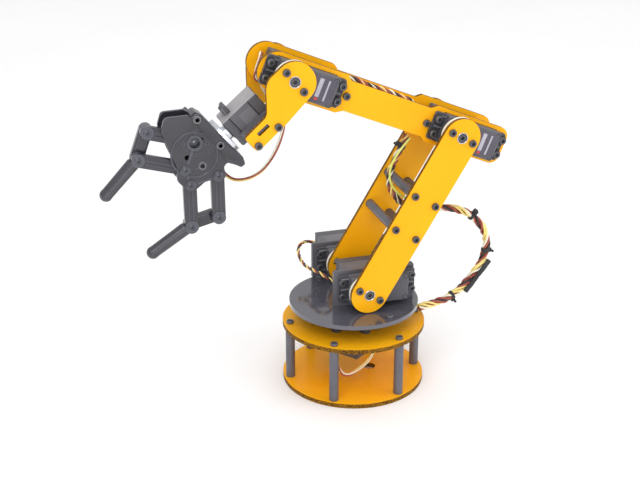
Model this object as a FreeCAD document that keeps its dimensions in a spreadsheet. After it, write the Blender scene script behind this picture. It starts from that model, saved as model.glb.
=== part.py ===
"""Desktop robot arm on a turntable, driven by seven hobby servos, with a two-finger gripper.

Millimetres. The origin is the centre of the base plate's underside, on the turntable's axis.
+X is the way the arm reaches, +Z is up, and the near servo outputs face +Y.
"""
import FreeCAD, Part
import Sketcher
import math
import os

Vector = FreeCAD.Vector
X_AXIS, Y_AXIS, Z_AXIS = Vector(1, 0, 0), Vector(0, 1, 0), Vector(0, 0, 1)

doc = FreeCAD.newDocument("RobotArm")
sheet = doc.addObject("Spreadsheet::Sheet", "Dimensions")

DRIVING = {
    "panel_thickness": 3.0,
    "base_radius": 49.2,
    "base_post_height": 38.1,
    "base_post_circle": 44.7,
    "cable_hole_radius": 4.3,
    "disc_radius": 44.4,
    "disc_underside": 56.2,
    "post_radius": 3.175,
    "screw_radius": 1.45,
    "screw_hole_radius": 1.6,
    "screw_head_radius": 2.5,
    "screw_head_height": 2.0,
    "screw_length": 8.0,
    "socket_width": 1.15,
    "socket_depth": 1.1,
    "shoulder_height": 72.6,
    "shoulder_offset": -2.2,
    "link_length": 120.65,
    "arm_width": 25.4,
    "arm_inner_half": 24.2,
    "forearm_near_face": 10.5,
    "forearm_far_face": -17.9,
    "rod_near_row": 47.6,
    "rod_far_row": 73.0,
    "rod_side": 8.3,
    "horn_radius": 12.6,
    "horn_screw_circle": 8.3,
    "shaft_radius": 2.95,
    "shaft_bore_radius": 3.0,
    "servo_length": 40.6,
    "servo_width": 19.8,
    "servo_below_ears": 26.6,
    "servo_above_ears": 10.0,
    "ear_length": 54.4,
    "ear_thickness": 2.5,
    "ear_hole_span": 49.5,
    "ear_hole_gap": 10.0,
    "output_offset": 10.15,
    "case_wall": 1.6,
    "grommet_radius": 3.2,
    "grommet_height": 1.6,
    "bracket_thickness": 3.0,
    "pivot_radius": 2.95,
    "pivot_hole_radius": 3.0,
    "palm_half": 5.8,
    "palm_thickness": 2.5,
    "crank_length": 29.5,
    "finger_bar_length": 18.5,
    "finger_bar_radius": 4.4,
    "finger_tip_radius": 4.3,
    "finger_pin_radius": 1.9,
    "finger_pin_hole_radius": 1.95,
    "finger_open_hole_radius": 2.25,
    "compact_length": 20.2,
    "compact_width": 20.0,
    "compact_below": 18.7,
    "compact_above": 9.0,
    "compact_ears": 34.0,
    "compact_ear_width": 8.0,
    "compact_screw_length": 4.5,
    "boss_hole_radius": 6.0,
    "palm_screw_length": 15.8,
    "grip_below": 11.0,
    "harness_radius": 2.2,
    "lead_radius": 1.3,
}
for row, (alias, value) in enumerate(DRIVING.items(), start=1):
    sheet.set("A%d" % row, alias)
    sheet.set("B%d" % row, "%g" % value)
    sheet.setAlias("B%d" % row, alias)
doc.recompute()


def size(alias):
    """A driving dimension, as a plain number."""
    return float(getattr(sheet, alias))


def bound(alias):
    return "Dimensions." + alias


# ---------------------------------------------------------------- places and frames

def placed(origin, x_dir, z_dir):
    """A placement whose local X and Z point these ways."""
    y_dir = z_dir.cross(x_dir)
    return FreeCAD.Placement(Vector(*origin), FreeCAD.Rotation(x_dir, y_dir, z_dir, "ZXY"))


def upright(x, y, z, angle=0.0):
    """Local X at this angle above +X in the XZ plane, local Z pointing at -Y."""
    turn = math.radians(angle)
    return placed((x, y, z), Vector(math.cos(turn), 0, math.sin(turn)), Vector(0, -1, 0))


def flat(x, y, z, angle=0.0):
    """Local Z up, local X at this angle in the XY plane."""
    turn = math.radians(angle)
    return placed((x, y, z), Vector(math.cos(turn), math.sin(turn), 0), Z_AXIS)


def ahead(origin, angle, distance, side=0.0):
    """A point in the XZ plane this far along a direction, and this far to its left."""
    turn = math.radians(angle)
    return (origin[0] + distance * math.cos(turn) - side * math.sin(turn),
            origin[1] + distance * math.sin(turn) + side * math.cos(turn))


UPPER_ANGLE = 120.64
FORE_ANGLE = 22.11
HAND_ANGLE = -40.5
SHOULDER = (size("shoulder_offset"), size("shoulder_height"))
ELBOW = ahead(SHOULDER, UPPER_ANGLE, size("link_length"))
WRIST = ahead(ELBOW, FORE_ANGLE, size("link_length"))
HAND = ahead(WRIST, HAND_ANGLE, 0, -3.5)
PANEL = size("panel_thickness")
TOP_PLATE = PANEL + size("base_post_height")
TOP_FACE = TOP_PLATE + PANEL
DISC_TOP = size("disc_underside") + PANEL
ARM_INNER = size("arm_inner_half")
ARM_OUTER = ARM_INNER + PANEL
FORE_NEAR = size("forearm_near_face")
FORE_FAR = size("forearm_far_face")

parts = {}
used_names = {}


def fresh(kind):
    """A document name that isn't used yet."""
    used_names[kind] = used_names.get(kind, 0) + 1
    return "%s_%03d" % (kind, used_names[kind])


def keep(node, thing):
    """Name a finished sub-part after its node."""
    thing.Label = node
    parts[node] = thing
    return thing


# ---------------------------------------------------------------- primitives and booleans

def assign(thing, prop, value):
    """Set a property to a number, or bind it to a cell when the value is a cell's name."""
    if isinstance(value, str):
        thing.setExpression(prop, value if "." in value else bound(value))
    else:
        setattr(thing, prop, value)


def cylinder(radius, height, place):
    thing = doc.addObject("Part::Cylinder", fresh("Cylinder"))
    assign(thing, "Radius", radius)
    assign(thing, "Height", height)
    thing.Placement = place
    return thing


def cone(first, second, height, place):
    thing = doc.addObject("Part::Cone", fresh("Cone"))
    assign(thing, "Radius1", first)
    assign(thing, "Radius2", second)
    assign(thing, "Height", height)
    thing.Placement = place
    return thing


def box(length, width, height, place, corner):
    """A box whose low corner is this local point of the placement."""
    thing = doc.addObject("Part::Box", fresh("Box"))
    assign(thing, "Length", length)
    assign(thing, "Width", width)
    assign(thing, "Height", height)
    thing.Placement = place.multiply(FreeCAD.Placement(Vector(*corner), FreeCAD.Rotation()))
    return thing


def rounded(base, radius, edges):
    thing = doc.addObject("Part::Fillet", fresh("Fillet"))
    thing.Base = base
    thing.Edges = [(edge, radius, radius) for edge in edges]
    return thing


def fused(things):
    thing = doc.addObject("Part::MultiFuse", fresh("Fuse"))
    thing.Shapes = things
    return thing


def without(base, tools):
    thing = doc.addObject("Part::Cut", fresh("Cut"))
    thing.Base = base
    thing.Tool = tools[0] if len(tools) == 1 else fused(tools)
    return thing


def group(things):
    thing = doc.addObject("Part::Compound", fresh("Group"))
    thing.Links = things
    return thing


def shifted(place, x=0.0, y=0.0, z=0.0):
    return place.multiply(FreeCAD.Placement(Vector(x, y, z), FreeCAD.Rotation()))


# ---------------------------------------------------------------- sketched plates

def rounded_outline(corners):
    """Line and arc geometry through (x, y, radius) corners, closed."""
    count = len(corners)
    ends = []
    for i, (x, y, radius) in enumerate(corners):
        here = Vector(x, y, 0)
        back = (Vector(*corners[i - 1][:2], 0) - here).normalize()
        on = (Vector(*corners[(i + 1) % count][:2], 0) - here).normalize()
        if radius == 0:
            ends.append((here, here, here))
            continue
        half = back.getAngle(on) / 2
        reach = radius / math.tan(half)
        middle = (back + on).normalize()
        centre = here + middle * (radius / math.sin(half))
        ends.append((here + back * reach, centre - middle * radius, here + on * reach))
    geometry = []
    for i, (start, bulge, finish) in enumerate(ends):
        if start.distanceToPoint(finish) > 1e-6:
            geometry.append(Part.Arc(start, bulge, finish))
        following = ends[(i + 1) % count][0]
        if finish.distanceToPoint(following) > 1e-6:
            geometry.append(Part.LineSegment(finish, following))
    return geometry


def bar_outline(length, half_width, back=None):
    """A bar with round ends, from its first pivot at the origin along local X."""
    back = half_width if back is None else back
    r = half_width - 0.01
    return [(-back, -half_width, r), (length + half_width, -half_width, r),
            (length + half_width, half_width, r), (-back, half_width, r)]


def circle(x, y, radius):
    return Part.Circle(Vector(x, y, 0), Z_AXIS, radius)


def slot_outline(x, y, length, width, angle=0.0):
    """A slot with round ends, centred at x, y, as geometry."""
    turn = FreeCAD.Rotation(Z_AXIS, angle)
    half, r = (length - width) / 2, width / 2
    corner = [turn.multVec(Vector(sx * half, sy * r, 0)) + Vector(x, y, 0)
              for sx, sy in ((-1, -1), (1, -1), (1, 1), (-1, 1))]
    tip = [turn.multVec(Vector(sx * (half + r), 0, 0)) + Vector(x, y, 0) for sx in (1, -1)]
    return [Part.LineSegment(corner[0], corner[1]), Part.Arc(corner[1], tip[0], corner[2]),
            Part.LineSegment(corner[2], corner[3]), Part.Arc(corner[3], tip[1], corner[0])]


def rectangle(x_low, y_low, x_high, y_high):
    points = [(x_low, y_low, 0), (x_high, y_low, 0), (x_high, y_high, 0), (x_low, y_high, 0)]
    return rounded_outline(points)


def plate(outline, thickness, place, holes=(), windows=(), disc=None):
    """A body whose sketch holds the outline, or one bound circle, with its holes and windows.

    holes are (x, y, cell name of the radius), and thickness is a cell name or a number."""
    body = doc.addObject("PartDesign::Body", fresh("Plate"))
    sketch = body.newObject("Sketcher::SketchObject", fresh("Outline"))
    plane = [f for f in body.Origin.OriginFeatures if f.Role == "XY_Plane"][0]
    sketch.AttachmentSupport = [(plane, "")]
    sketch.MapMode = "FlatFace"
    for edge in rounded_outline(outline) if outline else ():
        sketch.addGeometry(edge, False)
    for window in windows:
        for edge in window:
            sketch.addGeometry(edge, False)
    rounds = [(0, 0, disc)] if disc else []
    for x, y, alias in rounds + list(holes):
        index = sketch.addGeometry(circle(x, y, size(alias)), False)
        rule = sketch.addConstraint(Sketcher.Constraint("Radius", index, size(alias)))
        sketch.setExpression("Constraints[%d]" % rule, bound(alias))
    pad = body.newObject("PartDesign::Pad", fresh("Pad"))
    pad.Profile = sketch
    assign(pad, "Length", thickness)
    body.Tip = pad
    body.Placement = place
    return body


# ---------------------------------------------------------------- fasteners

def screw(place, length="screw_length", head="screw_head_radius"):
    """A cap screw: its head stands on the placement's origin and its shank runs down local -Z."""
    shank = cylinder("screw_radius", length, shifted(place, z=-size(length)))
    cap = cylinder(head, "screw_head_height", place)
    socket = doc.addObject("Part::Prism", fresh("Socket"))
    socket.Polygon = 6
    assign(socket, "Circumradius", "socket_width")
    assign(socket, "Height", "socket_depth")
    socket.Placement = shifted(place, z=size("screw_head_height") - size("socket_depth"))
    return without(fused([shank, cap]), [socket])


def post(place, height, radius="post_radius", bore="screw_hole_radius"):
    """A round post, bored right through."""
    return without(cylinder(radius, height, place), [cylinder(bore, height, place)])


def ring(place, outer, inner, height):
    return without(cylinder(outer, height, place), [cylinder(inner, height, place)])


# ---------------------------------------------------------------- servos

def servo_case(place, length="servo_length", width="servo_width", below="servo_below_ears",
               above="servo_above_ears", ears="ear_length", hole_span=None, offset=None,
               ear_width=None):
    """A hollow servo case with its ears: local Z is the output axis, z = 0 the ears' underside."""
    long, wide, low, high = size(length), size(width), size(below), size(above)
    shift = size("output_offset") if offset is None else offset
    span = size("ear_hole_span") if hole_span is None else hole_span
    centre = shifted(place, x=-shift)
    shell = rounded(box(length, width, "%s + %s" % (bound(below), bound(above)), centre,
                        (-long / 2, -wide / 2, -low)), 0.9, range(1, 13))
    lug = wide - 0.6 if ear_width is None else size(ear_width)
    rows = (-5.0, 5.0) if ear_width is None else (0.0,)
    flange = box(ears, lug, "ear_thickness", centre, (-size(ears) / 2, -lug / 2, 0))
    boss = cylinder(5.6, 0.6, shifted(place, z=high))
    wall = size("case_wall")
    cavity = box(long - 2 * wall, wide - 2 * wall, low + high - 2 * wall - 1.0, centre,
                 (-long / 2 + wall, -wide / 2 + wall, -low + wall))
    bore = cylinder("shaft_bore_radius", low + high, shifted(place, z=high + 2 - low))
    holes = [cylinder(1.9, "ear_thickness", shifted(centre, x=sx * span / 2, y=y))
             for sx in (-1, 1) for y in rows]
    return without(fused([shell, flange, boss]), [cavity, bore] + holes)


def servo_drive(place, length="servo_length", width="servo_width", below="servo_below_ears",
                above="servo_above_ears", offset=None):
    """What the case holds: motor, two idler gears and the circuit board, as separate solids."""
    long, wide, low, high = size(length), size(width), size(below), size(above)
    shift = size("output_offset") if offset is None else offset
    centre = shifted(place, x=-shift)
    floor = -low + size("case_wall") + 0.3
    radius = min(wide / 2 - 2.6, 7.2)
    motor = cylinder(radius, low - 9.0, shifted(centre, x=-long / 2 + 2.2 + radius, z=floor + 2.4))
    board = box(long - 4.4, wide - 4.4, 1.4, centre, (-long / 2 + 2.2, -wide / 2 + 2.2, floor))
    gears = []
    for step, (x, r) in enumerate(((-0.13, 3.4), (-0.30, 2.6))):
        gears.append(cylinder(r, 2.6, shifted(centre, x=x * long, z=high - 7.2 - 2.9 * step)))
    return [motor, board] + gears


def horn(place, high, top, thick=None, hub_radius=5.0):
    """A round horn with its output shaft: local Z is the axis, the disc ends at height top."""
    thick = top - high - 0.9 if thick is None else thick
    disc = cylinder("horn_radius", thick, shifted(place, z=top - thick))
    hub = cylinder(hub_radius, top - high - 0.9, shifted(place, z=high + 0.9))
    shaft = cylinder("shaft_radius", top - high + 3.8, shifted(place, z=high - 3.8))
    return fused([disc, hub, shaft])


def ear_points(offset=None, span=None, gap=None):
    half_gap = size("ear_hole_gap") / 2 if gap is None else gap / 2
    shift = size("output_offset") if offset is None else offset
    reach = size("ear_hole_span") if span is None else span
    return [(-shift + sx * reach / 2, y)
            for sx in (-1, 1) for y in sorted({-half_gap, half_gap})]


# ---------------------------------------------------------------- cords

def corded(points, radius):
    """A tube along straight runs joined by tangent arcs, as large as the runs allow."""
    spots = [Vector(*p) for p in points]
    start = spots[0]
    edges = []
    radii = []
    for before, corner, after in zip(spots, spots[1:], spots[2:]):
        back, on = before - corner, after - corner
        reach = 0.45 * min(back.Length, on.Length)
        turn = math.pi - back.getAngle(on)
        radii.append(reach / math.tan(turn / 2))
        back.normalize()
        on.normalize()
        centre = corner + (back + on).normalize() * (radii[-1] / math.cos(turn / 2))
        bulge = centre + (corner - centre).normalize() * radii[-1]
        edges.append(Part.makeLine(start, corner + back * reach))
        edges.append(Part.Arc(corner + back * reach, bulge, corner + on * reach).toShape())
        start = corner + on * reach
    edges.append(Part.makeLine(start, spots[-1]))
    path = Part.Wire(edges)
    along = (spots[1] - spots[0]).normalize()
    profile = Part.Wire([Part.makeCircle(size(radius), spots[0], along)])
    tube = path.makePipeShell([profile], True, False)
    expected = math.pi * size(radius) ** 2 * path.Length
    thing = doc.addObject("Part::Feature", fresh("Cord"))
    thing.Shape = tube
    print("cord radii %s length %.1f volume ratio %.4f" % (
        [round(r, 1) for r in radii], path.Length, tube.Volume / expected))
    return thing


# ================================================================ base

post_angles = [-4.7 + 60 * i for i in range(6)]
post_spots = [(size("base_post_circle") * math.cos(math.radians(a)),
               size("base_post_circle") * math.sin(math.radians(a))) for a in post_angles]
post_holes = [(x, y, "screw_hole_radius") for x, y in post_spots]
CABLE_HOLE = (-12.7, -1.0)
SERVO_TURN = 128.0
base_servo_place = flat(0, 0, TOP_FACE, SERVO_TURN)

raw_base = plate(None, "panel_thickness", flat(0, 0, 0), disc="base_radius",
                 holes=post_holes + [CABLE_HOLE + ("cable_hole_radius",)])
keep("base_plate", without(raw_base, [cone(3.1, "screw_hole_radius", 1.55, flat(x, y, 0))
                                      for x, y in post_spots]))
keep("base_posts", group([post(flat(x, y, PANEL), "base_post_height") for x, y in post_spots]))

raw_top = plate(None, "panel_thickness", flat(0, 0, TOP_PLATE), disc="base_radius",
                holes=post_holes)
half_long, half_wide = size("servo_length") / 2 + 0.3, size("servo_width") / 2 + 0.3
opening = box(2 * half_long, 2 * half_wide, "panel_thickness", shifted(base_servo_place, z=-PANEL),
              (-size("output_offset") - half_long, -half_wide, 0))
ear_holes = [cylinder("screw_hole_radius", "panel_thickness",
                      shifted(base_servo_place, x=x, y=y, z=-PANEL)) for x, y in ear_points()]
keep("top_plate", without(raw_top, [opening] + ear_holes))

under_screws = []
for x, y in post_spots:
    head = cone(3.0, "screw_radius", 1.5, flat(x, y, 0.02))
    under_screws.append(fused([head, cylinder("screw_radius", 8.0, flat(x, y, 0.5))]))
keep("base_screws", group(
    under_screws + [screw(flat(x, y, TOP_FACE)) for x, y in post_spots]
    + [screw(shifted(base_servo_place, x=x, y=y, z=size("ear_thickness")))
       for x, y in ear_points()]))
keep("base_servo_case", servo_case(base_servo_place))
keep("base_servo_drive", group(servo_drive(base_servo_place)))
pad_spots = [(r * math.cos(math.radians(a)), r * math.sin(math.radians(a)))
             for r, a in ((24.0, 43), (24.0, 92), (32.0, 223), (32.0, 268))]
keep("glide_pads", group([cylinder(3.4, size("disc_underside") - TOP_FACE - 0.3,
                                   flat(x, y, TOP_FACE)) for x, y in pad_spots]))
keep("base_servo_lead", corded([(-9, 21, 33), (-7.5, 21.5, 26), (-3, 22, 19.5), (4, 22.5, 14.5),
                                (11, 23.5, 12), (17, 24.5, 15), (19, 25, 22)], "lead_radius"))

# ================================================================ turntable

SHOULDER_Y = FORE_NEAR
FAR_SHIFT = 51.4
near_servo_place = placed((SHOULDER[0], SHOULDER_Y, SHOULDER[1]), X_AXIS, Y_AXIS)
far_servo_place = placed((SHOULDER[0], SHOULDER_Y - FAR_SHIFT, SHOULDER[1]), X_AXIS, Y_AXIS)
bracket_screws = [(-30, -6), (-17, -6), (-14, -33.5), (3, -33.5)]
disc_screws = [(-13.2, 36.7), (13.2, -38.0)]
raw_disc = plate(None, "panel_thickness", flat(0, 0, size("disc_underside")), disc="disc_radius",
                 holes=[(x, y, "screw_hole_radius") for x, y in bracket_screws + disc_screws])
HORN_RECESS = 1.3
keep("turntable_disc", without(raw_disc, [cylinder(size("horn_radius") + 0.05, HORN_RECESS,
                                                   flat(0, 0, size("disc_underside")))]))
keep("base_horn", horn(base_servo_place, size("servo_above_ears"),
                       size("disc_underside") + HORN_RECESS - TOP_FACE))

BRACKET_BACK, BRACKET_FRONT = -39.6, 17.6
BRACKET_HEIGHT = 25.7


def shoulder_bracket(plate_y, foot_low, foot_high, screw_row):
    """An upright plate with a window for the servo, on a foot that lies on the disc."""
    thick = size("bracket_thickness")
    length = BRACKET_FRONT - BRACKET_BACK
    place = upright(BRACKET_BACK, plate_y + thick, DISC_TOP)
    middle = SHOULDER[0] - BRACKET_BACK
    rise = SHOULDER[1] - DISC_TOP
    window = rectangle(middle - size("output_offset") - half_long, rise - half_wide,
                       middle - size("output_offset") + half_long, rise + half_wide)
    holes = [(middle + x, rise + y, "screw_hole_radius") for x, y in ear_points()]
    upright_plate = plate([(0, 0, 0), (length, 0, 0), (length, BRACKET_HEIGHT, 1.5),
                           (0, BRACKET_HEIGHT, 1.5)], "bracket_thickness", place,
                          holes=holes, windows=[window])
    foot = box(length - 14, foot_high - foot_low, "bracket_thickness",
               flat(BRACKET_BACK + 4, foot_low, DISC_TOP), (0, 0, 0))
    cuts = [cylinder("screw_hole_radius", "bracket_thickness", flat(x, y, DISC_TOP))
            for x, y in screw_row]
    return without(fused([upright_plate, foot]), cuts)


keep("near_shoulder_bracket", shoulder_bracket(SHOULDER_Y - 3, -11.5, SHOULDER_Y - 3,
                                               bracket_screws[:2]))
keep("far_shoulder_bracket", shoulder_bracket(SHOULDER_Y - 3 - FAR_SHIFT, -40.9, -30.4,
                                              bracket_screws[2:]))
turntable_screws = []
for x, y in bracket_screws:
    turntable_screws.append(fused([cylinder("screw_radius", 6.0, flat(x, y, DISC_TOP - PANEL)),
                                   cylinder(2.2, 0.3, flat(x, y, DISC_TOP + 3.0))]))
turntable_screws += [screw(flat(x, y, DISC_TOP), "panel_thickness") for x, y in disc_screws]
for place in (near_servo_place, far_servo_place):
    turntable_screws += [screw(shifted(place, x=x, y=y, z=size("ear_thickness")))
                         for x, y in ear_points()]
keep("turntable_screws", group(turntable_screws))
keep("near_shoulder_servo_case", servo_case(near_servo_place))
keep("far_shoulder_servo_case", servo_case(far_servo_place))
keep("shoulder_servo_drives", group(servo_drive(near_servo_place)
                                    + servo_drive(far_servo_place)))
keep("shoulder_servo_lead", corded([(9.2, -55, 79), (16, -54.6, 81.5), (23, -52, 82), (27, -46.5, 78),
                                    (26.5, -38, 73.5), (24.5, -28, 72.5), (22.5, -19, 74.5),
                                    (19.5, -11, 74.5), (14, -6, 71), (9.0, -5.5, 67)],
                                   "lead_radius"))

# ================================================================ upper arm

upper_near = upright(SHOULDER[0], ARM_OUTER, SHOULDER[1], UPPER_ANGLE)
upper_far = upright(SHOULDER[0], -ARM_INNER, SHOULDER[1], UPPER_ANGLE)
LINK = size("link_length")
HALF_ARM = size("arm_width") / 2
rod_spots = [(u, v) for u in (size("rod_near_row"), size("rod_far_row"))
             for v in (-size("rod_side"), size("rod_side"))]
rod_holes = [(u, v, "screw_hole_radius") for u, v in rod_spots]
horn_row = [(0, -size("horn_screw_circle")), (0, size("horn_screw_circle"))]


def horn_slots(u):
    """The two short slots that a horn's screws pass through, one each side of a pivot."""
    return [slot_outline(u + x, y, 5.2, 3.4, 0) for x, y in horn_row]


ARM_BAR = bar_outline(LINK, HALF_ARM)
keep("near_upper_arm_plate", plate(ARM_BAR, "panel_thickness", upper_near,
                                   holes=rod_holes + [(0, 0, "post_radius"),
                                                      (LINK, 0, "post_radius")],
                                   windows=horn_slots(0) + horn_slots(LINK)))
keep("far_upper_arm_plate", plate(ARM_BAR, "panel_thickness", upper_far,
                                  holes=rod_holes + [(0, 0, "post_radius"),
                                                     (LINK, 0, "pivot_hole_radius")],
                                  windows=horn_slots(0)))
keep("upper_arm_rods", group([post(shifted(upper_near, x=u, y=v, z=PANEL), 2 * ARM_INNER)
                              for u, v in rod_spots]))


def facing_near(place, x, y, z):
    """The same spot with local Z turned to face +Y, for a screw put in from the near side."""
    spot = place.multVec(Vector(x, y, z))
    return placed((spot.x, spot.y, spot.z), X_AXIS, Y_AXIS)


def facing_far(place, x, y, z):
    spot = place.multVec(Vector(x, y, z))
    return placed((spot.x, spot.y, spot.z), X_AXIS, Vector(0, -1, 0))


arm_screws = [screw(facing_near(upper_near, u, v, 0)) for u, v in rod_spots]
arm_screws += [screw(facing_far(upper_far, u, v, PANEL)) for u, v in rod_spots]
arm_screws += [screw(facing_near(upper_near, u + x, y, 0), "panel_thickness")
               for u in (0, LINK) for x, y in horn_row]
keep("upper_arm_screws", group(arm_screws))

HORN_TOP = ARM_INNER - FORE_NEAR
keep("shoulder_horns", group([
    horn(near_servo_place, size("servo_above_ears"), HORN_TOP),
    horn(far_servo_place, size("servo_above_ears"), FAR_SHIFT - ARM_OUTER - SHOULDER_Y)]))
elbow_servo_place = placed((ELBOW[0], FORE_NEAR, ELBOW[1]),
                           Vector(math.cos(math.radians(FORE_ANGLE)), 0,
                                  math.sin(math.radians(FORE_ANGLE))), Y_AXIS)
wrist_servo_place = placed((WRIST[0], FORE_NEAR, WRIST[1]),
                           Vector(math.cos(math.radians(FORE_ANGLE)), 0,
                                  math.sin(math.radians(FORE_ANGLE))), Y_AXIS)
keep("elbow_horn", horn(elbow_servo_place, size("servo_above_ears"), HORN_TOP))


def pivot_bolt(x, z):
    """A headed pin from the far side, through the outer plate, the spacer and the inner plate."""
    place = placed((x, -ARM_OUTER, z), X_AXIS, Y_AXIS)
    head = cylinder(5.0, 2.4, shifted(place, z=-2.4))
    shaft = cylinder("pivot_radius", ARM_OUTER + FORE_FAR + 1.3, place)
    tail = cylinder(4.6, 1.0, shifted(place, z=ARM_OUTER + FORE_FAR + 0.3))
    return fused([head, shaft, tail])


keep("elbow_pivot_bolt", pivot_bolt(*ELBOW))

# ================================================================ forearm

fore_near = upright(ELBOW[0], FORE_NEAR, ELBOW[1], FORE_ANGLE)
fore_far = upright(ELBOW[0], FORE_FAR, ELBOW[1], FORE_ANGLE)

FORE_OUTLINE = [(-40.2, -12.7, 6.5), (16.5, -12.7, 2), (20.5, -10, 2), (77.5, -10, 2),
                (82.5, -12.7, 2), (140.5, -12.9, 12.5), (140.5, 12.7, 12.5), (83.5, 12.7, 2),
                (79.5, 9.7, 2), (20.5, 9.7, 2), (16.5, 12.7, 2), (-40.2, 12.7, 6.5)]
servo_windows = [rectangle(u - size("output_offset") - half_long, -half_wide,
                           u - size("output_offset") + half_long, half_wide)
                 for u in (0, LINK)]
fore_rods = [(19.9, -0.5), (79.3, -0.5)]
fore_rod_holes = [(u, v, "screw_hole_radius") for u, v in fore_rods]
fore_ear_holes = [(u + x, y, "screw_hole_radius") for u in (0, LINK) for x, y in ear_points()]
keep("near_forearm_plate", plate(FORE_OUTLINE, "panel_thickness", fore_near,
                                 holes=fore_rod_holes + fore_ear_holes, windows=servo_windows))
keep("far_forearm_plate", plate(FORE_OUTLINE, "panel_thickness", fore_far,
                                holes=fore_rod_holes + [(0, 0, "pivot_hole_radius"),
                                                        (LINK, 0, "pivot_hole_radius")]))
FORE_GAP = FORE_NEAR - PANEL - FORE_FAR
keep("forearm_posts", group([post(shifted(fore_near, x=u, y=v, z=PANEL), FORE_GAP)
                             for u, v in fore_rods]))
forearm_screw_set = [screw(facing_near(fore_near, u, v, 0)) for u, v in fore_rods]
forearm_screw_set += [screw(facing_far(fore_far, u, v, PANEL)) for u, v in fore_rods]
keep("elbow_servo_case", servo_case(elbow_servo_place))
keep("wrist_servo_case", servo_case(wrist_servo_place))
keep("forearm_servo_drives", group(servo_drive(elbow_servo_place)
                                   + servo_drive(wrist_servo_place)))
fore_ear_spots = [shifted(servo, x=x, y=y, z=size("ear_thickness"))
                  for servo in (elbow_servo_place, wrist_servo_place) for x, y in ear_points()]
keep("forearm_grommets", group([ring(spot, "grommet_radius", "screw_hole_radius",
                                     "grommet_height") for spot in fore_ear_spots]))
forearm_screw_set += [screw(shifted(spot, z=size("grommet_height"))) for spot in fore_ear_spots]
keep("forearm_screws", group(forearm_screw_set))
keep("pivot_spacers", group([ring(placed((x, -ARM_INNER + 0.3, z), X_AXIS, Y_AXIS), 5.0,
                                  "pivot_hole_radius", ARM_INNER + FORE_FAR - PANEL - 0.3)
                             for x, z in (ELBOW, WRIST)]))


def fore_point(u, v, y):
    x, z = ahead(ELBOW, FORE_ANGLE, u, v)
    return (x, y, z)


keep("forearm_harness", corded([fore_point(*spot) for spot in (
    (84, 3.0, -4), (80, 7.5, -3.4), (73.5, 9.6, -2.6), (63, 8.2, -1.8), (51, 8.8, -3.4),
    (39, 8.0, -2.4), (30, 8.2, -3), (25.8, 3.5, -4), (25.6, -3.5, -4.5),
    (24.6, -11.0, -4))], "harness_radius"))

# ================================================================ wrist bracket

wrist_near = upright(WRIST[0], ARM_OUTER, WRIST[1], HAND_ANGLE)
wrist_far = upright(WRIST[0], -ARM_INNER, WRIST[1], HAND_ANGLE)
WRIST_OUTLINE = [(-12.7, -12.7, 12.6), (20, -15.9, 10), (45.7, -16.6, 2.5), (45.7, -4.3, 1.5),
                 (26.5, -3.7, 7), (12.9, 12.7, 11), (-12.7, 12.7, 12.6)]
wrist_post_spots = [(25.9, -13.6), (42.6, -13.6)]
wrist_holes = [(u, v, "screw_hole_radius") for u, v in wrist_post_spots]
tie_slot = rectangle(29.4, -9.7, 38.2, -7.1)
wrist_slots = [slot_outline(x, y, 5.2, 3.4) for x, y in horn_row]
keep("near_wrist_plate", plate(WRIST_OUTLINE, "panel_thickness", wrist_near,
                               holes=wrist_holes + [(0, 0, "post_radius")],
                               windows=[tie_slot] + wrist_slots))
keep("far_wrist_plate", plate(WRIST_OUTLINE, "panel_thickness", wrist_far,
                              holes=wrist_holes + [(0, 0, "pivot_hole_radius")],
                              windows=[tie_slot]))
CRADLE_OUTER, CRADLE_INNER = 12.6, 10.5
wrist_screw_set = [screw(facing_near(wrist_near, u, v, 0)) for u, v in wrist_post_spots]
wrist_screw_set += [screw(facing_far(wrist_far, u, v, PANEL)) for u, v in wrist_post_spots]
wrist_screw_set += [screw(facing_near(wrist_near, x, y, 0), "panel_thickness")
                    for x, y in horn_row]
side_post = ARM_INNER - CRADLE_OUTER
keep("wrist_posts", group(
    [post(shifted(wrist_near, x=u, y=v, z=PANEL), side_post) for u, v in wrist_post_spots]
    + [post(shifted(wrist_near, x=u, y=v, z=PANEL + ARM_INNER + CRADLE_OUTER), side_post)
       for u, v in wrist_post_spots]))
keep("wrist_horn", horn(wrist_servo_place, size("servo_above_ears"), HORN_TOP))
keep("wrist_pivot_bolt", pivot_bolt(*WRIST))

hand_turn = math.radians(HAND_ANGLE)
ALONG = Vector(math.cos(hand_turn), 0, math.sin(hand_turn))
ACROSS = Vector(-math.sin(hand_turn), 0, math.cos(hand_turn))
ROTATE_EARS = 41.0
rotate_place = placed(tuple(Vector(HAND[0], 0, HAND[1]) + ALONG * ROTATE_EARS), ACROSS, ALONG)
COMPACT = {"length": "compact_length", "width": "compact_width", "below": "compact_below",
           "above": "compact_above"}
ROTATE_OFFSET, ROTATE_SPAN = 0.4, 27.4
keep("wrist_rotate_servo_case", servo_case(rotate_place, ears="compact_ears",
                                           hole_span=ROTATE_SPAN, offset=ROTATE_OFFSET,
                                           ear_width="compact_ear_width", **COMPACT))

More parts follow.
